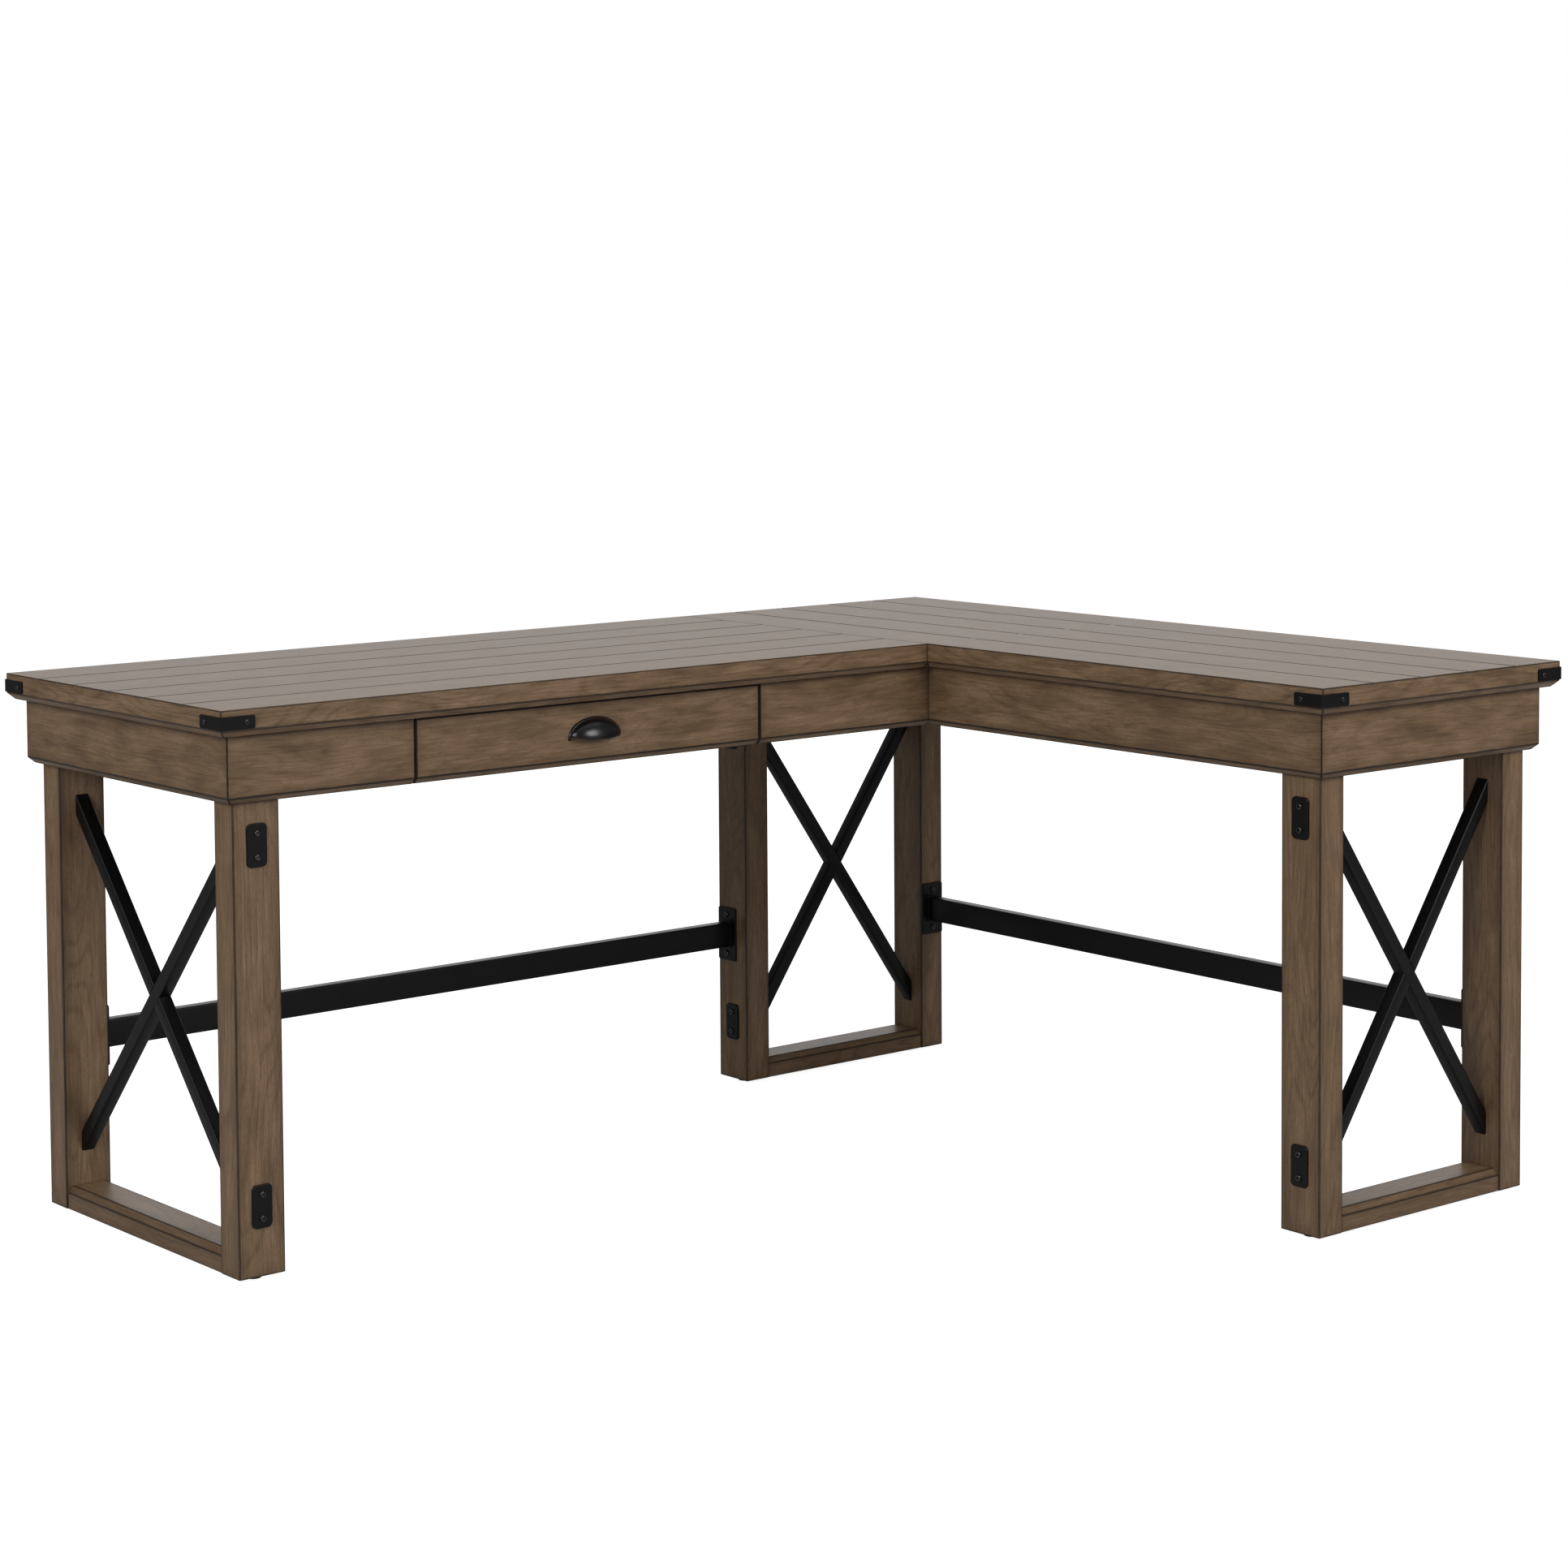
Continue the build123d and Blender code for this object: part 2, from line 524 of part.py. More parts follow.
def cup_pull():
    """The half-cup pull: a domed shell on a thin rim with a foot at each side, and two screw posts."""
    lip = APRON_BOTTOM + PULL_LIP_ABOVE_APRON
    half = PULL_WIDTH / 2
    dome_half = half - PULL_RIM
    dome_rise = PULL_RISE - PULL_RIM * 0.5
    centre = Pos(MAIN_MIDDLE_X, APRON_FACE_Y, lip)
    keep = centre * Pos(0, -PULL_DEPTH, PULL_RISE) * Box(PULL_WIDTH, 2 * PULL_DEPTH, 2 * PULL_RISE)
    outer = scale(Sphere(1), by=(dome_half, PULL_DEPTH, dome_rise))
    inner = scale(Sphere(1), by=(dome_half - PULL_WALL, PULL_DEPTH - PULL_WALL, dome_rise - PULL_WALL))
    outer_cup = (centre * outer) & keep
    shell = outer_cup - centre * inner
    rim_plane = Plane(origin=(MAIN_MIDDLE_X, APRON_FACE_Y, lip), x_dir=(1, 0, 0), z_dir=(0, -1, 0))
    upper = Pos(0, PULL_RISE) * Rectangle(PULL_WIDTH * 2, 2 * PULL_RISE)
    arch = (Ellipse(half, PULL_RISE) - Ellipse(dome_half - PULL_WALL, dome_rise - PULL_WALL)) & upper
    rim = extrude(rim_plane * arch, PULL_RIM_THICKNESS)
    foot_width = PULL_RIM + PULL_WALL
    foot_height = foot_width + PULL_FOOT_DROP
    for side in (-1, 1):
        middle = side * (half - foot_width / 2)
        toe = RectangleRounded(foot_width, foot_height, foot_width * 0.45)
        toe = Pos(middle, foot_height / 2 - PULL_FOOT_DROP) * toe
        rim += extrude(rim_plane * toe, PULL_RIM_THICKNESS)
    pull = shell + rim
    screws = []
    holes = []
    box_front_back = FRONT_BACK_Y + DRAWER_SIDE
    for side in (-0.5, 0.5):
        x = MAIN_MIDDLE_X + side * PULL_SCREW_PITCH
        z = lip + PULL_SCREW_RISE
        post = rod((x, APRON_FACE_Y, z), (0, -1, 0), PULL_DEPTH, PULL_POST_RADIUS)
        pull += post & outer_cup
        length = box_front_back - APRON_FACE_Y + PULL_SCREW_BITE
        seat = (x, box_front_back, z)
        hole = rod(seat, (0, -1, 0), length + PULL_HOLE_END_GAP, PULL_SCREW_RADIUS + HOLE_CLEARANCE)
        holes.append(hole)
        head = (WOOD_SCREW_HEAD_RADIUS, WOOD_SCREW_HEAD_HEIGHT)
        screws.append(screw(seat, (0, -1, 0), length, PULL_SCREW_RADIUS, *head))
    for hole in holes:
        pull -= hole
    return pull, holes, screws


def drawer():
    """The drawer's front, its box, its pull and its slides. Returns the holes for the partitions."""
    left = MAIN_MIDDLE_X - BOX_HALF
    right = MAIN_MIDDLE_X + BOX_HALF
    box_front = FRONT_BACK_Y
    box_back = box_front + DRAWER_LENGTH
    low = APRON_BOTTOM + DRAWER_BOX_LIFT
    high = low + DRAWER_SIDE_HEIGHT
    half = DRAWER_FRONT_WIDTH / 2
    front = apron((MAIN_MIDDLE_X + half, APRON_FACE_Y), (MAIN_MIDDLE_X - half, APRON_FACE_Y), (0, -1))
    front &= block(LEFT, RIGHT, MAIN_FRONT, BACK, 0, UNDER_TOP - DRAWER_TOP_GAP)
    ends = front.faces().filter_by(Axis.X).edges()
    ends = ends.filter_by_position(Axis.Y, APRON_FACE_Y - 0.1, APRON_FACE_Y + APRON_BEVEL - 0.1)
    front = chamfer(ends, PANEL_END_ARRIS)
    bottom_z = low + DRAWER_BOTTOM_LIFT
    reach = DRAWER_SIDE - DRAWER_BOTTOM_TONGUE
    bottom = block(left + reach, right - reach, box_front + reach, box_back - reach, 0, DRAWER_BOTTOM)
    bottom = Pos(0, 0, bottom_z) * bottom
    inner_left = left + DRAWER_SIDE
    inner_right = right - DRAWER_SIDE
    walls = {
        "drawer_side_left": block(left, inner_left, box_front, box_back, low, high),
        "drawer_side_right": block(inner_right, right, box_front, box_back, low, high),
        "drawer_box_front": block(inner_left, inner_right, box_front, box_front + DRAWER_SIDE, low, high),
        "drawer_box_back": block(inner_left, inner_right, box_back - DRAWER_SIDE, box_back, low, high),
    }
    pull, pull_holes, pull_screws = cup_pull()
    screws = []
    holes = list(pull_holes)
    for side in (-1, 1):
        for share in (0.3, 0.75):
            x = MAIN_MIDDLE_X + side * (BOX_HALF - 4 * DRAWER_SIDE)
            seat = (x, box_front + DRAWER_SIDE, low + DRAWER_SIDE_HEIGHT * share)
            length = DRAWER_SIDE + FRONT_SCREW_BITE
            holes.append(wood_hole(seat, (0, -1, 0), length))
            screws.append(wood_screw(seat, (0, -1, 0), length))
    for hole in holes:
        walls["drawer_box_front"] -= hole
        front -= hole
    for name, wall in walls.items():
        save(name, wall - bottom)
    save("drawer_front", front)
    save("drawer_bottom", bottom)
    save("cup_pull", pull)
    save("pull_screws", *pull_screws)
    save("drawer_front_screws", *screws)
    partition_holes = []
    for side, word in ((-1, "left"), (1, "right")):
        case, carrier, runner, slide_screws, slide_holes = slide(side)
        save(f"slide_case_{word}", case)
        save(f"slide_carrier_{word}", carrier)
        save(f"slide_runner_{word}", runner)
        save("slide_screws", *slide_screws)
        partition_holes.append(slide_holes)
    return partition_holes


def partitions(holes):
    """The two boards that hold the slides, from the front panels to the back apron."""
    for side, word, cuts in ((-1, "left", holes[0]), (1, "right", holes[1])):
        near = MAIN_MIDDLE_X + side * OPENING_HALF
        far = near + side * PARTITION_THICKNESS
        board = block(near, far, FRONT_BACK_Y, BACK - LEG_INSET, APRON_BOTTOM + PARTITION_LIFT, UNDER_TOP)
        for cut in cuts:
            board -= cut
        save(f"drawer_partition_{word}", board)


# ---------------------------------------------------------------- corner blocks and joining bolts


def corner_blocks():
    """A wooden block beside each leg, screwed to the leg and to the apron. Returns their holes."""
    beside = LEG_INSET + LEG_WIDTH
    z1 = UNDER_TOP - BLOCK_DROP
    z0 = z1 - BLOCK_HEIGHT
    left_x = LEFT + beside
    inner_x = SEAM_X + LEG_INSET
    outer_x = RIGHT - LEG_INSET
    places = [
        ((left_x, MAIN_FRONT + LEG_INSET), (1, 1), "left_leg_front", "front_panel_left"),
        ((left_x, BACK - LEG_INSET), (1, -1), "left_leg_rear", "main_back_apron"),
        ((inner_x, BACK - beside), (1, -1), "back_leg_inner", "return_inner_apron"),
        ((outer_x, BACK - beside), (-1, -1), "back_leg_outer", "return_outer_apron"),
        ((inner_x, FRONT + beside), (1, 1), "front_leg_inner", "return_inner_apron"),
        ((outer_x, FRONT + beside), (-1, 1), "front_leg_outer", "return_outer_apron"),
    ]
    cuts = []
    for (x, y), (x_way, y_way), leg_name, apron_name in places:
        body = block(x, x + x_way * BLOCK_SIZE, y, y + y_way * BLOCK_SIZE, z0, z1)
        to_leg = (-x_way, 0, 0)
        to_apron = (0, -y_way, 0)
        if not leg_name.startswith("left"):
            to_leg = (0, -y_way, 0)
            to_apron = (-x_way, 0, 0)
        holes = []
        low_z = z0 + BLOCK_HEIGHT / 3
        high_z = z1 - BLOCK_HEIGHT / 3
        for way, z, bite in ((to_leg, low_z, BLOCK_LEG_BITE), (to_apron, high_z, BLOCK_APRON_BITE)):
            seat_x = x + x_way * BLOCK_SIZE if way[0] else x + x_way * BLOCK_SIZE / 2
            seat_y = y + y_way * BLOCK_SIZE if way[1] else y + y_way * BLOCK_SIZE / 2
            seat = (seat_x, seat_y, z)
            hole = wood_hole(seat, way, BLOCK_SIZE + bite)
            body -= hole
            holes.append(hole)
            save("block_screws", wood_screw(seat, way, BLOCK_SIZE + bite))
        save("corner_blocks", body)
        cuts.append((leg_name, holes[0], apron_name, holes[1]))
    return cuts


def joining_bolts():
    """Bolts with sleeve nuts that hold the main desk's inner apron to the return's."""
    x0 = SEAM_X + APRON_INSET - APRON_THICKNESS
    x1 = SEAM_X + APRON_INSET + APRON_THICKNESS
    z = APRON_BOTTOM + APRON_HEIGHT / 2
    first = MAIN_FRONT + LEG_INSET
    last = BACK - LEG_INSET - LEG_WIDTH
    holes = []
    for i in range(JOINING_BOLTS):
        y = first + (last - first) * (i + 0.5) / JOINING_BOLTS
        holes.append(rod((x0, y, z), (1, 0, 0), x1 - x0, JOINING_BOLT_RADIUS + HOLE_CLEARANCE))
        bolt = rod((x0, y, z), (1, 0, 0), x1 - x0, JOINING_BOLT_RADIUS)
        for x in (x0 - JOINING_BOLT_HEAD_HEIGHT, x1):
            bolt += rod((x, y, z), (1, 0, 0), JOINING_BOLT_HEAD_HEIGHT, JOINING_BOLT_HEAD_RADIUS)
        save("joining_bolts", bolt)
    return holes


# ---------------------------------------------------------------- assembly


def cut_from(name, holes):
    """Cuts each hole from the first solid of a saved node."""
    for hole in holes:
        saved[name][0] -= hole


def assemble():
    """Builds every node."""
    main, side = tops()
    save("main_top", main)
    save("return_top", side)
    aprons()
    for name, span, place, leg_names in placed_frames():
        pieces = leg_frame(span)
        for leg_name, post in zip(leg_names, pieces["legs"]):
            save(leg_name, place * post)
        save(f"{name}_floor_rail", place * pieces["floor_rail"])
        save(f"{name}_top_rail", place * pieces["top_rail"])
        save(f"{name}_brace_bar", place * pieces["through_bar"])
        save(f"{name}_brace_halves", *[place * half for half in pieces["half_bars"].solids()])
        save("leg_plates", *[place * plate for plate in pieces["plates"]])
        save("leg_plate_bolts", *[place * bolt for bolt in pieces["bolts"]])
        save("glides", *[place * foot for foot in pieces["glides"]])
        top_name = "main_top" if name == "left" else "return_top"
        for fixing in pieces["top_screws"]:
            placed = place * fixing
            save("top_screws", placed)
            middle = placed.bounding_box().center()
            cut_from(top_name, [wood_hole((middle.X, middle.Y, UNDER_TOP), (0, 0, 1), TOP_SCREW_BITE)])
    across = LEG_INSET + LEG_THICKNESS / 2
    reach = LEG_INSET + LEG_WIDTH
    holes = stretcher(
        "main_stretcher",
        (LEFT + reach, BACK - across, STRETCHER_Z),
        (SEAM_X + LEG_INSET, BACK - across, STRETCHER_Z),
    )
    cut_from("left_leg_rear", holes[:2])
    cut_from("back_leg_inner", holes[2:])
    holes = stretcher(
        "return_stretcher",
        (RIGHT - across, BACK - reach, STRETCHER_Z),
        (RIGHT - across, FRONT + reach, STRETCHER_Z),
    )
    cut_from("back_leg_outer", holes[:2])
    cut_from("front_leg_outer", holes[2:])
    brackets = [
        ((LEFT, BACK), (1, -1), "main_top"),
        ((LEFT, MAIN_FRONT), (1, 1), "main_top"),
        ((SEAM_X, FRONT), (1, 1), "return_top"),
        ((RIGHT, FRONT), (-1, 1), "return_top"),
        ((RIGHT, BACK), (-1, -1), "return_top"),
    ]
    for corner, (x_way, y_way), top_name in brackets:
        strip, holes, screws = corner_bracket(corner, x_way, y_way)
        save("corner_brackets", strip)
        save("bracket_screws", *screws)
        cut_from(top_name, holes)
    partitions(drawer())
    for leg_name, leg_hole, apron_name, apron_hole in corner_blocks():
        cut_from(leg_name, [leg_hole])
        cut_from(apron_name, [apron_hole])
    holes = joining_bolts()
    cut_from("main_inner_apron", holes)
    cut_from("return_inner_apron", holes)


assemble()
for node, solids in saved.items():
    flat = [solid for shape in solids for solid in shape.solids()]
    export_step(flat[0] if len(flat) == 1 else Compound(children=flat), f"parts/{node}.step")
print(len(saved), "nodes")
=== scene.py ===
"""Corner desk: stained wood tops and aprons on three leg frames braced with black steel.

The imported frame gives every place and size. The boards and the steel tubes are modelled again with soft
arrises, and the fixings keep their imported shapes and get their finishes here.
"""

import logging
import math
import random
from collections.abc import Callable, Iterable, Iterator, Sequence
from dataclasses import dataclass, field
from enum import Enum

import bmesh
import bpy
from mathutils import Matrix, Vector

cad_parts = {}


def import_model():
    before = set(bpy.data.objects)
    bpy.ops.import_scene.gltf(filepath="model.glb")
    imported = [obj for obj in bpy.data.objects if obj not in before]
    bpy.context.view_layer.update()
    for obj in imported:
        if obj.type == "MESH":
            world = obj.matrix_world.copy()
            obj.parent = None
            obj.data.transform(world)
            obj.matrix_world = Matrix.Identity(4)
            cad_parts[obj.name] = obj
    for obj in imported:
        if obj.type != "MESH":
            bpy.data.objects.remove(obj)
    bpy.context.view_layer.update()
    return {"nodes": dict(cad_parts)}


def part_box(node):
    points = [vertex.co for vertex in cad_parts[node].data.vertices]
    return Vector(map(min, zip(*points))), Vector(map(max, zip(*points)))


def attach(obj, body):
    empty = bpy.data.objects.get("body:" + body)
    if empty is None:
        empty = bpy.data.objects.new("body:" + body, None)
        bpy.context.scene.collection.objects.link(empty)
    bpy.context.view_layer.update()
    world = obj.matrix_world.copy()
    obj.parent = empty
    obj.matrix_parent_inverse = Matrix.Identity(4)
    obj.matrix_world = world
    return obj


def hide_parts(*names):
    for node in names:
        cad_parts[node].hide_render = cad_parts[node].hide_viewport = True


LOG = logging.getLogger("corner_desk")
MM = 0.001
TOUCH = 0.01 * MM
FLAT = math.radians(10)  # faces that meet at less than this lie on one sheet
NO_BORDER = 1.0  # metres, for a side of a face that carries on
FACING = 0.5  # a face looks a way when its normal reaches this far along it
END_GRAIN = 0.6  # past this, a face looks along the grain
BORDERS = 4  # arrises that each face keeps its distances to
SHEET_SHIFT = 9.0  # metres of veneer that a sheet may be cut from
BOARD_RANGE = 90.0  # how far apart two sheets' patterns may lie in depth


class Axis(Enum):
    """The directions that grain and tubes run in."""

    X = (1.0, 0.0, 0.0)
    Y = (0.0, 1.0, 0.0)
    Z = (0.0, 0.0, 1.0)

    @property
    def vector(self) -> Vector:
        """The direction as a unit vector."""
        return Vector(self.value)

    @property
    def index(self) -> int:
        """Its place among a point's coordinates."""
        return self.value.index(1.0)


class Body(Enum):
    """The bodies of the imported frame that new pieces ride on."""

    DESK = "desk"
    DRAWER = "drawer"


# ---------------------------------------------------------------- colours and nodes


def linear(code: str) -> tuple[float, float, float, float]:
    """Turns an sRGB hex colour to linear light.

    Args:
        code: the colour as "#rrggbb".

    Returns:
        Red, green, blue and an alpha of 1.
    """
    parts = [int(code[i : i + 2], 16) / 255 for i in (1, 3, 5)]
    parts = [c / 12.92 if c <= 0.04045 else ((c + 0.055) / 1.055) ** 2.4 for c in parts]
    return (*parts, 1.0)


def add(
    tree: bpy.types.NodeTree,
    kind: str,
    inputs: dict | None = None,
    stops: Sequence[tuple[float, str]] = (),
    **settings: object,
) -> bpy.types.Node:
    """Adds one shader node.

    Args:
        tree: the node tree it goes into.
        kind: its type, without "ShaderNode".
        inputs: a value or the output that feeds it, for each input's name or number.
        stops: a colour ramp's places and colours.
        settings: the node's own properties.

    Returns:
        The new node.
    """
    node = tree.nodes.new("ShaderNode" + kind)
    for name, value in settings.items():
        setattr(node, name, value)
    for name, value in (inputs or {}).items():
        if isinstance(value, bpy.types.NodeSocket):
            tree.links.new(value, node.inputs[name])
        else:
            node.inputs[name].default_value = value
    for i, (at, code) in enumerate(stops):
        element = node.color_ramp.elements[i] if i < 2 else node.color_ramp.elements.new(at)
        element.position = at
        element.color = linear(code)
    return node


def fresh_material(name: str) -> tuple[bpy.types.Material, bpy.types.NodeTree]:
    """Makes an empty node material.

    Args:
        name: the finish's name.

    Returns:
        The material and its node tree.
    """
    material = bpy.data.materials.new(name)
    material.use_nodes = True
    material.node_tree.nodes.clear()
    return material, material.node_tree


def per_mm(long: float, wide: float, deep: float = 1000.0) -> tuple[float, float, float]:
    """The factors that stretch a pattern so that one of its cells has these sizes in millimetres."""
    return (1 / (long * MM), 1 / (wide * MM), 1 / (deep * MM))


# ---------------------------------------------------------------- finishes


@dataclass(frozen=True)
class StainedVeneer:
    """Plain hardwood veneer, stained grey-brown and lacquered satin, with dark lines along its arrises.

    Stain gathers dark in the pores. The line along each arris is glaze on the boards' sides and painted
    shade in the grooves and at the seam between the tops; a broader painted shade darkens the wood near
    every arris.
    """

    name: str
    deep: str = "#4f3c2a"
    brown: str = "#6a543e"
    tan: str = "#7a624a"
    pale: str = "#8f765d"
    # The colour of the dark arris lines: glaze on the boards' sides, painted shade in the grooves and at the
    # seam between the tops.
    glaze_and_shade: str = "#170e08"
    streaks: float = 0.75
    rings: float = 0.1
    clouds: float = 0.95
    ring_count: float = 16.0
    line_mm: float = 1.4
    line: float = 0.92
    # How strongly the painted shade darkens the wood near the arrises.
    painted_edge_shade: float = 0.35
    roughness: float = 0.42

    def material(self) -> bpy.types.Material:
        """Builds the finish.

        Returns:
            The material, which reads the boards' grain and border maps.
        """
        material, tree = fresh_material(self.name)
        grain = add(tree, "SeparateXYZ", {0: add(tree, "UVMap", uv_map="grain").outputs["UV"]})
        board = add(tree, "Attribute", attribute_name="board").outputs["Fac"]
        lie = {"X": grain.outputs["X"], "Y": grain.outputs["Y"], "Z": board}
        lie = add(tree, "CombineXYZ", lie).outputs[0]
        # Fibres wander by a few millimetres over a hand's length.
        wander = add(tree, "VectorMath", {0: lie, 1: per_mm(260, 90)}, operation="MULTIPLY")
        wander = add(tree, "TexNoise", {"Vector": wander.outputs[0], "Scale": 1.0, "Detail": 1.0})
        sway = (0.0, 22 * MM, 0.0)
        sway = add(tree, "VectorMath", {0: wander.outputs["Fac"], 1: sway, 2: lie}, operation="MULTIPLY_ADD")
        cells = {
            "streak": (per_mm(60, 2.0), 3.0),
            "figure": (per_mm(420, 55), 0.6),
            "cloud": (per_mm(80, 24), 2.0),
            "pore": (per_mm(8, 0.9), 1.0),
            "line_wobble": (per_mm(30, 9), 2.0),
        }
        noise = {}
        for layer, (scale, detail) in cells.items():
            place = add(tree, "VectorMath", {0: sway.outputs[0], 1: scale}, operation="MULTIPLY")
            cell = {"Vector": place.outputs[0], "Scale": 1.0, "Detail": detail, "Roughness": 0.6}
            noise[layer] = add(tree, "TexNoise", cell).outputs["Fac"]
        # Growth rings are thin level lines of the slow figure.
        ring = add(tree, "Math", {0: noise["figure"], 1: self.ring_count}, operation="MULTIPLY").outputs[0]
        ring = add(tree, "Math", {0: ring, 1: 0.5}, operation="PINGPONG").outputs[0]
        ring = {"Value": ring, "From Min": 0.0, "From Max": 0.22, "To Min": 1.0, "To Max": 0.0}
        ring = add(tree, "MapRange", ring, interpolation_type="SMOOTHSTEP").outputs[0]
        shares = ((noise["streak"], self.streaks), (ring, -self.rings), (noise["cloud"], self.clouds))
        tone = (self.rings - self.streaks - self.clouds) / 2
        for source, share in shares:
            tone = add(tree, "Math", {0: source, 1: share, 2: tone}, operation="MULTIPLY_ADD").outputs[0]
        figure = add(tree, "Attribute", attribute_name="figure").outputs["Fac"]
        tone = add(tree, "Math", {0: tone, 1: figure, 2: 0.5}, operation="MULTIPLY_ADD").outputs[0]
        stops = ((0.1, self.deep), (0.4, self.brown), (0.6, self.tan), (0.9, self.pale))
        wood = add(tree, "ValToRGB", {"Fac": tone}, stops=stops).outputs["Color"]
        pore = {"Value": noise["pore"], "From Min": 0.56, "From Max": 0.70}
        pore = add(tree, "MapRange", pore).outputs[0]
        pit = add(tree, "Math", {0: pore, 1: 0.5}, operation="MULTIPLY").outputs[0]
        wood = add(tree, "Mix", {0: pit, 6: wood, 7: linear(self.deep)}, data_type="RGBA").outputs[2]
        edge = self.border(tree, noise["line_wobble"])
        # Painted shade: the wood darkens towards the deep brown within 15 mm of an arris.
        painted_edge_shade = {"Value": edge, "From Min": 0.0, "From Max": 15 * MM, "To Min": self.painted_edge_shade, "To Max": 0.0}
        painted_edge_shade = add(tree, "MapRange", painted_edge_shade, interpolation_type="SMOOTHSTEP").outputs[0]
        wood = add(tree, "Mix", {0: painted_edge_shade, 6: wood, 7: linear(self.deep)}, data_type="RGBA").outputs[2]
        # A thin dark line along each arris: glaze on the boards' sides, painted shade in the grooves and at
        # the seam between the tops.
        line = {"Value": edge, "From Min": 0.3 * MM, "From Max": self.line_mm * MM}
        line |= {"To Min": self.line, "To Max": 0.0}
        line = add(tree, "MapRange", line, interpolation_type="SMOOTHSTEP").outputs[0]
        wood = add(tree, "Mix", {0: line, 6: wood, 7: linear(self.glaze_and_shade)}, data_type="RGBA").outputs[2]
        sheen = {0: noise["streak"], 1: 0.14, 2: self.roughness - 0.07}
        sheen = add(tree, "Math", sheen, operation="MULTIPLY_ADD")
        height = add(tree, "Math", {0: pore, 1: -0.8, 2: noise["streak"]}, operation="MULTIPLY_ADD")
        relief = {"Strength": 0.35, "Distance": 0.12 * MM, "Height": height.outputs[0]}
        relief = add(tree, "Bump", relief)
        surface = {
            "Base Color": wood,
            "Roughness": sheen.outputs[0],
            "Normal": relief.outputs[0],
            "Specular IOR Level": 0.3,
            "Coat Weight": 0.08,
            "Coat Roughness": 0.3,
        }
        surface = add(tree, "BsdfPrincipled", surface)
        add(tree, "OutputMaterial", {"Surface": surface.outputs[0]})
        return material

    def border(self, tree: bpy.types.NodeTree, line_wobble: bpy.types.NodeSocket) -> bpy.types.NodeSocket:
        """Finds how far a point is from the nearest arris, in metres.

        Args:
            tree: the material's node tree.
            line_wobble: a noise that makes the distance uneven.

        Returns:
            The output that holds the distance.
        """
        sides = []
        for name in ("border_a", "border_b"):
            pair = add(tree, "SeparateXYZ", {0: add(tree, "UVMap", uv_map=name).outputs["UV"]})
            sides += [pair.outputs["X"], pair.outputs["Y"]]
        nearest = sides[0]
        for side in sides[1:]:
            nearest = add(tree, "Math", {0: nearest, 1: side}, operation="MINIMUM").outputs[0]
        uneven = {0: line_wobble, 1: 1.6 * MM, 2: nearest}
        uneven = add(tree, "Math", uneven, operation="MULTIPLY_ADD").outputs[0]
        return add(tree, "Math", {0: uneven, 1: 0.8 * MM}, operation="SUBTRACT").outputs[0]


@dataclass(frozen=True)
class SolidWood:
    """Planed secondary wood for blocks, rails and drawer boards, stained lightly and hardly lacquered."""

    name: str
    grain: Axis
    dark: str = "#5e4a38"
    light: str = "#84694f"
    roughness: float = 0.55

    def material(self) -> bpy.types.Material:
        """Builds the finish, with fibres along its grain.

        Returns:
            The material.
        """
        material, tree = fresh_material(self.name)
        place = add(tree, "TexCoord").outputs["Object"]
        cells = {"streak": (160, 2.2, 3.0), "ring": (900, 22, 1.0)}
        noise = {}
        for layer, (long, wide, detail) in cells.items():
            scale = [1 / (wide * MM)] * 3
            scale[self.grain.index] = 1 / (long * MM)
            stretched = add(tree, "VectorMath", {0: place, 1: scale}, operation="MULTIPLY").outputs[0]
            cell = {"Vector": stretched, "Scale": 1.0, "Detail": detail}
            noise[layer] = add(tree, "TexNoise", cell).outputs["Fac"]
        both = add(tree, "Math", {0: noise["streak"], 1: noise["ring"]}, operation="ADD")
        tone = {"Value": both.outputs[0], "From Min": 0.7, "From Max": 1.3}
        tone = add(tree, "MapRange", tone).outputs[0]
        wood = add(tree, "ValToRGB", {"Fac": tone}, stops=((0.0, self.dark), (1.0, self.light)))
        dull = {0: noise["streak"], 1: 0.2, 2: self.roughness - 0.1}
        dull = add(tree, "Math", dull, operation="MULTIPLY_ADD").outputs[0]
        relief = add(tree, "Bump", {"Strength": 0.3, "Distance": 0.15 * MM, "Height": noise["streak"]})
        surface = {"Base Color": wood.outputs["Color"], "Roughness": dull, "Normal": relief.outputs[0]}
        add(tree, "OutputMaterial", {"Surface": add(tree, "BsdfPrincipled", surface).outputs[0]})
        return material


@dataclass(frozen=True)
class CoatedSteel:
    """Mild steel under black paint: powder coat has a fine orange peel, enamel is smooth and glossy."""

    name: str
    colour: str
    bloom: str
    roughness: float
    peel_mm: float
    peel_depth_mm: float
    coat: float
    specular: float

    def material(self) -> bpy.types.Material:
        """Builds the finish, with an uneven sheen and the paint's own texture.

        Returns:
            The material.
        """
        material, tree = fresh_material(self.name)
        place = add(tree, "TexCoord").outputs["Object"]
        peel = add(tree, "TexNoise", {"Vector": place, "Scale": 1 / (self.peel_mm * MM), "Detail": 1.5})
        flow = add(tree, "TexNoise", {"Vector": place, "Scale": 1 / (35 * MM), "Detail": 2.0})
        tint = {0: flow.outputs["Fac"], 6: linear(self.colour), 7: linear(self.bloom)}
        tint = add(tree, "Mix", tint, data_type="RGBA").outputs[2]
        sheen = {0: flow.outputs["Fac"], 1: 0.12, 2: self.roughness - 0.06}
        sheen = add(tree, "Math", sheen, operation="MULTIPLY_ADD").outputs[0]
        relief = {"Strength": 0.4, "Distance": self.peel_depth_mm * MM, "Height": peel.outputs["Fac"]}
        relief = add(tree, "Bump", relief).outputs[0]
        surface = {
            "Base Color": tint,
            "Roughness": sheen,
            "Normal": relief,
            "Specular IOR Level": self.specular,
            "Coat Weight": self.coat,
            "Coat Roughness": 0.12,
        }
        add(tree, "OutputMaterial", {"Surface": add(tree, "BsdfPrincipled", surface).outputs[0]})
        return material


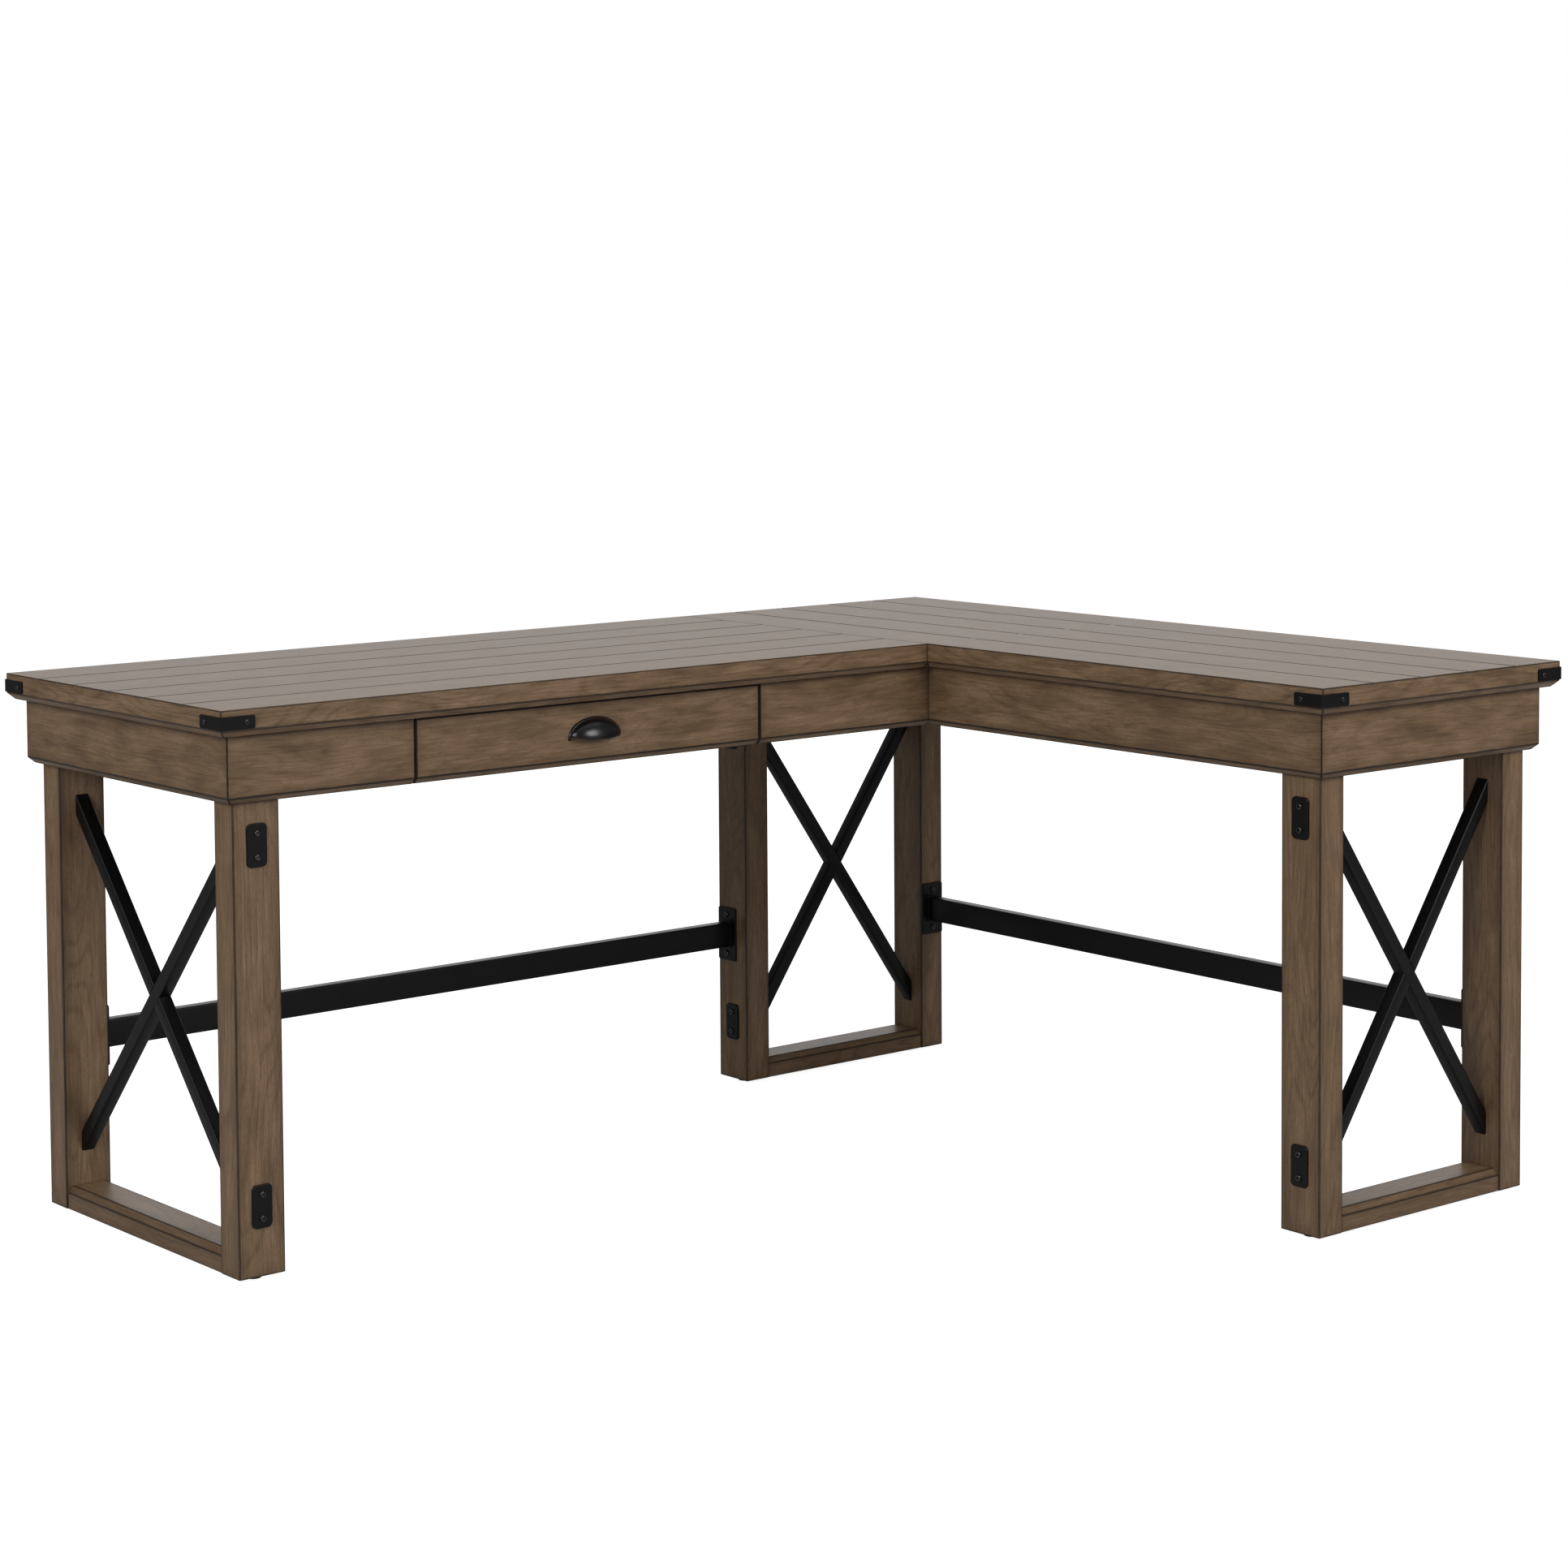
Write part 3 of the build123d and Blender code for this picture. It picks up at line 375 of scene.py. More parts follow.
@dataclass(frozen=True)
class PlatedSteel:
    """Zinc-plated steel, slightly blue and brushed fine by rolling or turning."""

    name: str
    dark: str
    light: str
    along: Axis
    roughness: float = 0.34

    def material(self) -> bpy.types.Material:
        """Builds the finish, with fine lines along one axis.

        Returns:
            The material.
        """
        material, tree = fresh_material(self.name)
        place = add(tree, "TexCoord").outputs["Object"]
        scale = [1 / (0.8 * MM)] * 3
        scale[self.along.index] = 1 / (40 * MM)
        lines = add(tree, "VectorMath", {0: place, 1: scale}, operation="MULTIPLY").outputs[0]
        lines = add(tree, "TexNoise", {"Vector": lines, "Scale": 1.0, "Detail": 2.0}).outputs["Fac"]
        tint = {0: lines, 6: linear(self.dark), 7: linear(self.light)}
        tint = add(tree, "Mix", tint, data_type="RGBA").outputs[2]
        sheen = add(tree, "Math", {0: lines, 1: 0.16, 2: self.roughness - 0.08}, operation="MULTIPLY_ADD")
        relief = add(tree, "Bump", {"Strength": 0.2, "Distance": 0.03 * MM, "Height": lines}).outputs[0]
        surface = {"Base Color": tint, "Metallic": 1.0, "Roughness": sheen.outputs[0], "Normal": relief}
        add(tree, "OutputMaterial", {"Surface": add(tree, "BsdfPrincipled", surface).outputs[0]})
        return material


@dataclass(frozen=True)
class MouldedNylon:
    """Black moulded nylon with the fine spark-eroded texture of its mould."""

    name: str
    colour: str = "#111112"

    def material(self) -> bpy.types.Material:
        """Builds the finish.

        Returns:
            The material.
        """
        material, tree = fresh_material(self.name)
        place = add(tree, "TexCoord").outputs["Object"]
        spark = {"Vector": place, "Scale": 1 / (0.5 * MM), "Detail": 2.0}
        spark = add(tree, "TexNoise", spark).outputs["Fac"]
        tint = {0: spark, 6: linear(self.colour), 7: linear("#1c1c1d")}
        tint = add(tree, "Mix", tint, data_type="RGBA").outputs[2]
        dull = add(tree, "Math", {0: spark, 1: 0.2, 2: 0.45}, operation="MULTIPLY_ADD").outputs[0]
        relief = add(tree, "Bump", {"Strength": 0.4, "Distance": 0.05 * MM, "Height": spark}).outputs[0]
        surface = {"Base Color": tint, "Roughness": dull, "Normal": relief}
        add(tree, "OutputMaterial", {"Surface": add(tree, "BsdfPrincipled", surface).outputs[0]})
        return material


# ---------------------------------------------------------------- shaping


def squared(low: Vector, high: Vector) -> bmesh.types.BMesh:
    """Starts a piece as a block between two corners.

    Returns:
        The block.
    """
    bm = bmesh.new()
    size = Matrix.Diagonal((*(high - low), 1.0))
    bmesh.ops.create_cube(bm, size=1.0, matrix=Matrix.Translation((low + high) / 2) @ size)
    return bm


def lines_at(bm: bmesh.types.BMesh, **places: float) -> list[bmesh.types.BMEdge]:
    """Finds the edges that lie wholly at some coordinates.

    Args:
        bm: the piece.
        places: a coordinate for each of x, y or z.

    Returns:
        The edges.
    """
    wanted = [("xyz".index(axis), value) for axis, value in places.items()]

    def lies(vert: bmesh.types.BMVert) -> bool:
        """True if the corner is at all the wanted coordinates."""
        return all(abs(vert.co[i] - value) < TOUCH for i, value in wanted)

    return [edge for edge in bm.edges if all(lies(vert) for vert in edge.verts)]


def bevel(
    bm: bmesh.types.BMesh,
    edges: Iterable[bmesh.types.BMEdge],
    width: float,
    segments: int = 1,
) -> None:
    """Cuts a flat or rounded bevel along edges.

    Args:
        bm: the piece.
        edges: the edges to cut.
        width: how far the bevel reaches from an edge.
        segments: 1 for a flat bevel, more for a rounded one.
    """
    bmesh.ops.bevel(
        bm,
        geom=list(edges),
        offset=width,
        offset_type="OFFSET",
        affect="EDGES",
        segments=segments,
        profile=0.5,
        material=-1,
        clamp_overlap=True,
    )


def sharp(bm: bmesh.types.BMesh) -> list[bmesh.types.BMEdge]:
    """The edges where two sheets of a piece meet."""
    return [edge for edge in bm.edges if edge.calc_face_angle(0.0) > FLAT]


def looks(face: bmesh.types.BMFace, way: Vector) -> bool:
    """True if a face looks a way."""
    return face.normal.dot(way) > FACING


def spread(part: bmesh.types.BMFace | bmesh.types.BMEdge, way: Vector) -> float:
    """How far a face or an edge reaches along a direction."""
    reach = [way.dot(vert.co) for vert in part.verts]
    return max(reach) - min(reach)


def edges_along(bm: bmesh.types.BMesh, way: Vector, sharp_only: bool = False) -> list[bmesh.types.BMEdge]:
    """The edges that run along a direction, all of them or only where two sheets meet.

    Args:
        bm: the piece.
        way: the direction.
        sharp_only: whether to leave out the edges within a sheet.

    Returns:
        The edges.
    """
    edges = sharp(bm) if sharp_only else bm.edges
    return [edge for edge in edges if spread(edge, way) > 0.9 * edge.calc_length()]


def merge(whole: bmesh.types.BMesh, part: bmesh.types.BMesh) -> None:
    """Adds one shape to another and frees it.

    Args:
        whole: the shape that grows.
        part: the shape that is added.
    """
    mesh = bpy.data.meshes.new("part")
    part.to_mesh(mesh)
    part.free()
    whole.from_mesh(mesh)
    bpy.data.meshes.remove(mesh)


def split_faces(
    bm: bmesh.types.BMesh,
    faces: Iterable[bmesh.types.BMFace],
    at: Vector,
    normal: Vector,
) -> None:
    """Splits some faces along a plane and leaves the rest of the piece whole.

    Args:
        bm: the piece.
        faces: the faces to split.
        at: a point of the plane.
        normal: the way that the plane looks.
    """
    faces = list(faces)
    edges = {edge for face in faces for edge in face.edges}
    verts = {vert for face in faces for vert in face.verts}
    bmesh.ops.bisect_plane(bm, geom=[*faces, *edges, *verts], dist=TOUCH, plane_co=at, plane_no=normal)


def trimmed(bm: bmesh.types.BMesh, at: Vector, outward: Vector) -> None:
    """Saws a piece off along a plane and closes the cut.

    Args:
        bm: the piece.
        at: a point of the plane.
        outward: the way to the side that is sawn off.
    """
    geom = [*bm.verts, *bm.edges, *bm.faces]
    cut = bmesh.ops.bisect_plane(bm, geom=geom, plane_co=at, plane_no=outward, clear_outer=True)
    rim = [part for part in cut["geom_cut"] if isinstance(part, bmesh.types.BMEdge)]
    bmesh.ops.contextual_create(bm, geom=rim)


def sheet_side(face: bmesh.types.BMFace) -> tuple:
    """Names the sheet that a face lies on, by the way it looks."""
    return tuple(round(value, 1) for value in face.normal)


def lay_grain(
    bm: bmesh.types.BMesh,
    grain: Axis,
    seed: str,
    sheet: Callable[[bmesh.types.BMFace], tuple] = sheet_side,
    figure: Callable[[bmesh.types.BMFace], float] = lambda face: 1.0,
    lined_with_glaze_and_shade: Callable[[bmesh.types.BMFace, bmesh.types.BMEdge], bool] = lambda face, edge: True,
) -> None:
    """Writes to each face where it lies on its sheet of veneer and how far its corners are from its arrises.

    Args:
        bm: the finished shape.
        grain: the way that the fibres run. An end face is banded along its longer side.
        seed: the piece's name, which picks its veneer.
        sheet: names the sheet that a face is cut from.
        figure: how strong a face's markings are.
        lined_with_glaze_and_shade: says whether an arris of a face holds the dark line, which is glaze on a
            board's side and painted shade in a groove or at a seam.
    """
    draw = random.Random(seed)
    grain_map = bm.loops.layers.uv.new("grain")
    border_maps = [bm.loops.layers.uv.new(name) for name in ("border_a", "border_b")]
    board = bm.faces.layers.float.new("board")
    marking = bm.faces.layers.float.new("figure")
    sheets = {}
    bm.normal_update()
    for face in bm.faces:
        key = sheet(face)
        if key not in sheets:
            shift = Vector((draw.uniform(0, SHEET_SHIFT), draw.uniform(0, SHEET_SHIFT)))
            sheets[key] = (shift, draw.uniform(0, BOARD_RANGE))
        shift, face[board] = sheets[key]
        face[marking] = figure(face)
        along = grain.vector
        if abs(face.normal.dot(along)) > END_GRAIN:
            others = [axis.vector for axis in Axis if axis is not grain]
            along = max(others, key=lambda way: spread(face, way))
        along = (along - face.normal * along.dot(face.normal)).normalized()
        across = face.normal.cross(along)
        # Only these arrises get the dark line of glaze and painted shade.
        borders = face_borders(face, [edge for edge in face.edges if lined_with_glaze_and_shade(face, edge)])
        for loop in face.loops:
            point = loop.vert.co
            loop[grain_map].uv = Vector((point.dot(along), point.dot(across))) + shift
            gaps = [inward.dot(point) - offset for inward, offset in borders]
            gaps += [NO_BORDER] * (BORDERS - len(gaps))
            loop[border_maps[0]].uv = gaps[:2]
            loop[border_maps[1]].uv = gaps[2:]


def face_borders(
    face: bmesh.types.BMFace,
    edges: Iterable[bmesh.types.BMEdge],
) -> list[tuple[Vector, float]]:
    """Finds the four longest straight arrises round a face.

    Args:
        face: a flat face.
        edges: the edges that may be arrises.

    Returns:
        For each, the direction into the face and the arris's place along it.
    """
    found = {}
    centre = face.calc_center_median()
    for edge in edges:
        if edge.calc_face_angle(math.pi) < FLAT:
            continue
        start, end = (vert.co for vert in edge.verts)
        inward = face.normal.cross(end - start).normalized()
        if inward.dot(centre - start) < 0:
            inward.negate()
        offset = inward.dot(start)
        key = (*(round(value, 2) for value in inward), round(offset, 4))
        length = found[key][0] if key in found else 0.0
        found[key] = (length + edge.calc_length(), inward, offset)
    longest = sorted(found.values(), key=lambda border: -border[0])[:BORDERS]
    return [(inward, offset) for _, inward, offset in longest]


def piece(
    bm: bmesh.types.BMesh,
    name: str,
    material: bpy.types.Material,
    body: Body,
    nodes: Sequence[str],
) -> bpy.types.Object:
    """Turns a finished shape into a piece of the desk.

    Args:
        bm: the shape, in the row frame.
        name: the piece's name.
        material: its finish.
        body: what it moves with.
        nodes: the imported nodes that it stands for.

    Returns:
        The object.
    """
    mesh = bpy.data.meshes.new(name)
    bm.to_mesh(mesh)
    bm.free()
    mesh.materials.append(material)
    made = bpy.data.objects.new(name, mesh)
    bpy.context.scene.collection.objects.link(made)
    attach(made, body.value)
    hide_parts(*nodes)
    return made


def round_shaded(made: bpy.types.Object, angle: float = 40.0) -> bpy.types.Object:
    """Shades a piece smooth except at edges sharper than an angle in degrees.

    Args:
        made: the piece.
        angle: the angle.

    Returns:
        The same piece.
    """
    made.data.shade_smooth()
    made.data.set_sharp_from_angle(angle=math.radians(angle))
    return made


# ---------------------------------------------------------------- wooden sub-assemblies


@dataclass
class Worktop:
    """One planked top: a veneered slab with V grooves, an eased rim and an undercut below it."""

    node: str
    planks: int
    run: Axis
    finish: bpy.types.Material
    undercut: float = 9 * MM
    arris: float = 1.1 * MM
    groove_width: float = 4 * MM
    groove_depth: float = 2 * MM
    land: float = 10 * MM
    land_setback: float = 9 * MM
    plank_figure: float = 0.6
    rim_figure: float = 1.35

    def build(self) -> Iterator[bpy.types.Object]:
        """Makes the slab.

        Returns:
            The finished piece.
        """
        low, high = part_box(self.node)
        main_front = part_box("main_top")[0].y
        bm = squared(low, high)
        rim = [*lines_at(bm, y=low.y, z=low.z), *lines_at(bm, y=high.y, z=low.z)]
        if self.node == "main_top":
            bevel(bm, [*rim, *lines_at(bm, x=low.x, z=low.z)], self.undercut)
        else:
            self.undercut_return(bm, rim, low, high, main_front)
        across = Axis.Y if self.run is Axis.X else Axis.X
        pitch = (high - low)[across.index] / self.planks
        joints = [low[across.index] + pitch * i for i in range(1, self.planks)]
        for joint in joints:
            for side in (-0.5, 0.0, 0.5):
                top = [face for face in bm.faces if looks(face, Axis.Z.vector)]
                split_faces(bm, top, across.vector * (joint + side * self.groove_width), across.vector)
        centre = main_front + self.land_setback
        reach = self.land / 2
        if self.run is Axis.Y:
            for shift in (-reach - self.groove_depth, -reach, reach, reach + self.groove_depth):
                self.end_groove(bm, joints, centre + shift)

        def off_joint(place: float) -> float:
            """How far a place across the planks is from the nearest groove."""
            return min(abs(place - joint) for joint in joints)

        for vert in bm.verts:
            if vert.co.z < high.z - TOUCH or off_joint(vert.co[across.index]) > TOUCH:
                continue
            if self.run is Axis.X or abs(vert.co.y - centre) > reach + self.groove_depth / 2:
                vert.co.z -= self.groove_depth
        bm.normal_update()
        up = Axis.Z.vector
        rim = [edge for edge in sharp(bm) if not all(looks(face, up) for face in edge.link_faces)]
        bevel(bm, rim, self.arris, 2)

        def plank(face: bmesh.types.BMFace) -> tuple:
            """Names the plank that a face of the top belongs to."""
            if not looks(face, up):
                return sheet_side(face)
            middle = face.calc_center_median()[across.index]
            return ("plank", int((middle - low[across.index]) / pitch))

        def near_joint(vert: bmesh.types.BMVert) -> bool:
            """True if a corner is at a groove or at the seam between the tops."""
            at_groove = off_joint(vert.co[across.index]) < self.groove_width
            return at_groove or abs(vert.co.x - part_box("return_top")[0].x) < 2 * self.arris

        # Painted shade: the grooves and the seam between the tops get the dark arris line; the rim's sides
        # get it as glaze.
        def lined_with_glaze_and_shade(face: bmesh.types.BMFace, edge: bmesh.types.BMEdge) -> bool:
            """True for the lines in the grooves and at the seam, which are painted shade, and for all glazed
            lines below the top's bright outer arris.
            """
            return not looks(face, up) or all(near_joint(vert) for vert in edge.verts)

        def figure(face: bmesh.types.BMFace) -> float:
            """The slab's rim is figured more strongly than its planks."""
            arris_too = FACING / 2
            return self.plank_figure if face.normal.z > arris_too else self.rim_figure

        lay_grain(bm, self.run, self.node, plank, figure, lined_with_glaze_and_shade)
        yield piece(bm, f"{self.node}_slab", self.finish, Body.DESK, [self.node])

    def undercut_return(
        self,
        bm: bmesh.types.BMesh,
        rim: list[bmesh.types.BMEdge],
        low: Vector,
        high: Vector,
        main_front: float,
    ) -> None:
        """Undercuts the return's free sides, with a mitre where the main top's undercut runs into it.

        Args:
            bm: the slab.
            rim: its lower edges at the front and the back.
            low: the slab's lowest corner.
            high: the slab's highest corner.
            main_front: where the main top's front edge meets it.
        """
        corner = Vector((low.x, main_front, low.z))
        left, down = -Axis.X.vector, -Axis.Z.vector
        faces = [face for face in bm.faces if looks(face, left) or looks(face, down)]
        split_faces(bm, faces, corner, Axis.Y.vector)
        side = lines_at(bm, x=low.x, z=low.z)
        inner = [edge for edge in side if min(vert.co.y for vert in edge.verts) < main_front - TOUCH]
        rim = [edge for edge in rim if edge.is_valid]
        bevel(bm, [*rim, *lines_at(bm, x=high.x, z=low.z), *inner], self.undercut)
        inside = corner + Vector((self.undercut, 0, 0))
        for vert in bm.verts:
            if (vert.co - inside).length < self.undercut / 10 or (vert.co - corner).length < TOUCH:
                vert.co.y = main_front + self.undercut

    def end_groove(self, bm: bmesh.types.BMesh, joints: list[float], y: float) -> None:
        """Splits the grooves crosswise where one stops at its uncut land.

        Args:
            bm: the slab.
            joints: where the grooves run, across the planks.
            y: where the split lies.
        """

        def in_groove(face: bmesh.types.BMFace) -> bool:
            """True if a face belongs to one of the grooves."""
            middle = face.calc_center_median().x
            near = min(abs(middle - joint) for joint in joints) < self.groove_width
            return near and looks(face, Axis.Z.vector)

        grooves = [face for face in bm.faces if in_groove(face)]
        split_faces(bm, grooves, Vector((0, y, 0)), Axis.Y.vector)


@dataclass
class Apron:
    """One board under the tops, with its lower outer edge bevelled and its ends mitred or square."""

    node: str
    outward: Vector
    finish: bpy.types.Material
    mitre_low: bool = True
    mitre_high: bool = True
    body: Body = Body.DESK
    lower_bevel: float = 8 * MM
    arris: float = 0.9 * MM

    def build(self) -> Iterator[bpy.types.Object]:
        """Makes the board.

        Returns:
            The finished piece.
        """
        low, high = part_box(self.node)
        bm = squared(low, high)
        run = Axis.Y if self.outward.x else Axis.X
        deep = Axis.X if self.outward.x else Axis.Y
        facing = self.outward[deep.index]
        thickness = (high - low)[deep.index]
        inner_place = low[deep.index] if facing > 0 else high[deep.index]
        outer_place = high[deep.index] if facing > 0 else low[deep.index]
        for vert in bm.verts:
            if abs(vert.co[deep.index] - inner_place) > TOUCH:
                continue
            at_low = abs(vert.co[run.index] - low[run.index]) < TOUCH
            if at_low and self.mitre_low:
                vert.co[run.index] += thickness
            if not at_low and self.mitre_high:
                vert.co[run.index] -= thickness
        bevel(bm, lines_at(bm, **{"xyz"[deep.index]: outer_place, "z": low.z}), self.lower_bevel)
        bm.normal_update()
        outer = [edge for edge in sharp(bm) if any(looks(face, self.outward) for face in edge.link_faces)]
        bevel(bm, outer, self.arris, 2)
        lay_grain(bm, run, self.node)
        yield piece(bm, f"{self.node}_board", self.finish, self.body, [self.node])


@dataclass
class LegFrame:
    """Two legs, the floor rail between them and the X brace of square tube."""

    name: str
    legs: tuple[str, str]
    run: Axis
    wood: bpy.types.Material
    steel: bpy.types.Material
    leg_arris: float = 1.5 * MM
    rail_chamfer: float = 9 * MM
    rail_arris: float = 0.8 * MM
    tube: float = 20 * MM
    tube_round: float = 1.8 * MM
    brace_low: float = 100 * MM
    brace_high: float = 577 * MM

    def build(self) -> Iterator[bpy.types.Object]:
        """Makes the legs, the rail and the brace.

        Returns:
            The finished pieces.
        """
        for leg in self.legs:
            yield self.post(leg)
        yield self.rail()
        yield from self.brace()

    def post(self, node: str) -> bpy.types.Object:
        """Makes one leg.

        Args:
            node: the leg's node in the frame.

        Returns:
            The finished piece.
        """
        bm = squared(*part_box(node))
        bevel(bm, list(bm.edges), self.leg_arris, 2)
        lay_grain(bm, Axis.Z, node)
        return piece(bm, f"{node}_post", self.wood, Body.DESK, [node])

    def rail(self) -> bpy.types.Object:
        """Makes the floor rail, chamfered along both upper edges.

        Returns:
            The finished piece.
        """
        node = f"{self.name}_floor_rail"
        low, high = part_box(node)
        bm = squared(low, high)
        side = "y" if self.run is Axis.X else "x"
        upper = lines_at(bm, z=high.z, **{side: getattr(low, side)})
        upper += lines_at(bm, z=high.z, **{side: getattr(high, side)})
        bevel(bm, upper, self.rail_chamfer)
        bm.normal_update()
        bevel(bm, edges_along(bm, self.run.vector, sharp_only=True), self.rail_arris, 2)
        lay_grain(bm, self.run, node)
        return piece(bm, f"{node}_board", self.wood, Body.DESK, [node])

    def brace(self) -> Iterator[bpy.types.Object]:
        """Makes the through bar and the two halves that are welded to it.

        Returns:
            The two finished pieces.
        """
        first, second = (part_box(leg) for leg in self.legs)
        start = first[1][self.run.index]
        end = second[0][self.run.index]
        across = Axis.Y if self.run is Axis.X else Axis.X
        middle = (first[0] + first[1])[across.index] / 2
        rise = self.brace_high - self.brace_low
        slope = math.atan2(rise, end - start)
        centre = self.run.vector * (start + end) / 2 + across.vector * middle
        centre.z = (self.brace_low + self.brace_high) / 2
        falling = self.bar(centre, -slope, start, end)
        yield self.tubes(falling, "brace_through", "brace_bar")
        bar_way = self.run.vector * math.cos(slope) - Axis.Z.vector * math.sin(slope)
        side = across.vector.cross(bar_way).normalized()
        halves = bmesh.new()
        for sign in (-1, 1):
            half = self.bar(centre, slope, start, end)
            trimmed(half, centre + side * sign * self.tube / 2, side * -sign)
            merge(halves, half)
        yield self.tubes(halves, "brace_arms", "brace_halves")

    def tubes(self, bm: bmesh.types.BMesh, what: str, node: str) -> bpy.types.Object:
        """Turns finished brace tubes into a piece that stands for one of the frame's nodes."""
        made = piece(bm, f"{self.name}_{what}", self.steel, Body.DESK, [f"{self.name}_{node}"])
        return round_shaded(made)

    def bar(self, centre: Vector, slope: float, start: float, end: float) -> bmesh.types.BMesh:
        """Makes a sloping square tube, sawn off at the legs' faces.

        Args:
            centre: the middle of the brace.
            slope: how steeply the tube rises along the frame, in radians.
            start: the first leg's inner face.
            end: the second leg's inner face.

        Returns:
            The tube's shape.
        """
        length = (end - start) / math.cos(slope) + 4 * self.tube
        half = Vector((length, self.tube, self.tube)) / 2
        bm = squared(-half, half)
        bevel(bm, edges_along(bm, Axis.X.vector), self.tube_round, 3)
        turn = Matrix.Rotation(-slope, 4, "Y")
        if self.run is Axis.Y:
            turn = Matrix.Rotation(math.radians(90), 4, "Z") @ turn
        bmesh.ops.transform(bm, matrix=Matrix.Translation(centre) @ turn, verts=bm.verts)
        trimmed(bm, self.run.vector * start, -self.run.vector)
        trimmed(bm, self.run.vector * end, self.run.vector)
        return bm


@dataclass
class Stretcher:
    """A rectangular steel tube between two frames, with rounded corners."""

    node: str
    run: Axis
    steel: bpy.types.Material
    corner: float = 2.4 * MM
    bead: float = 2.2 * MM
    bead_stand: float = 1.54 * MM
    bead_round: float = 0.99 * MM

    def build(self) -> Iterator[bpy.types.Object]:
        """Makes the tube, with a weld bead round each end.

        Returns:
            The finished piece.
        """
        low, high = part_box(self.node)
        bm = squared(low, high)
        bevel(bm, edges_along(bm, self.run.vector), self.corner, 4)
        way = self.run.index
        stand = (Vector((1, 1, 1)) - self.run.vector) * self.bead_stand
        for near, far in ((low[way], low[way] + self.bead), (high[way] - self.bead, high[way])):
            first, last = low.copy(), high.copy()
            first[way], last[way] = near, far
            weld = squared(first - stand, last + stand)
            bevel(weld, list(weld.edges), self.bead_round, 3)
            merge(bm, weld)
        yield round_shaded(piece(bm, f"{self.node}_tube", self.steel, Body.DESK, [self.node]))


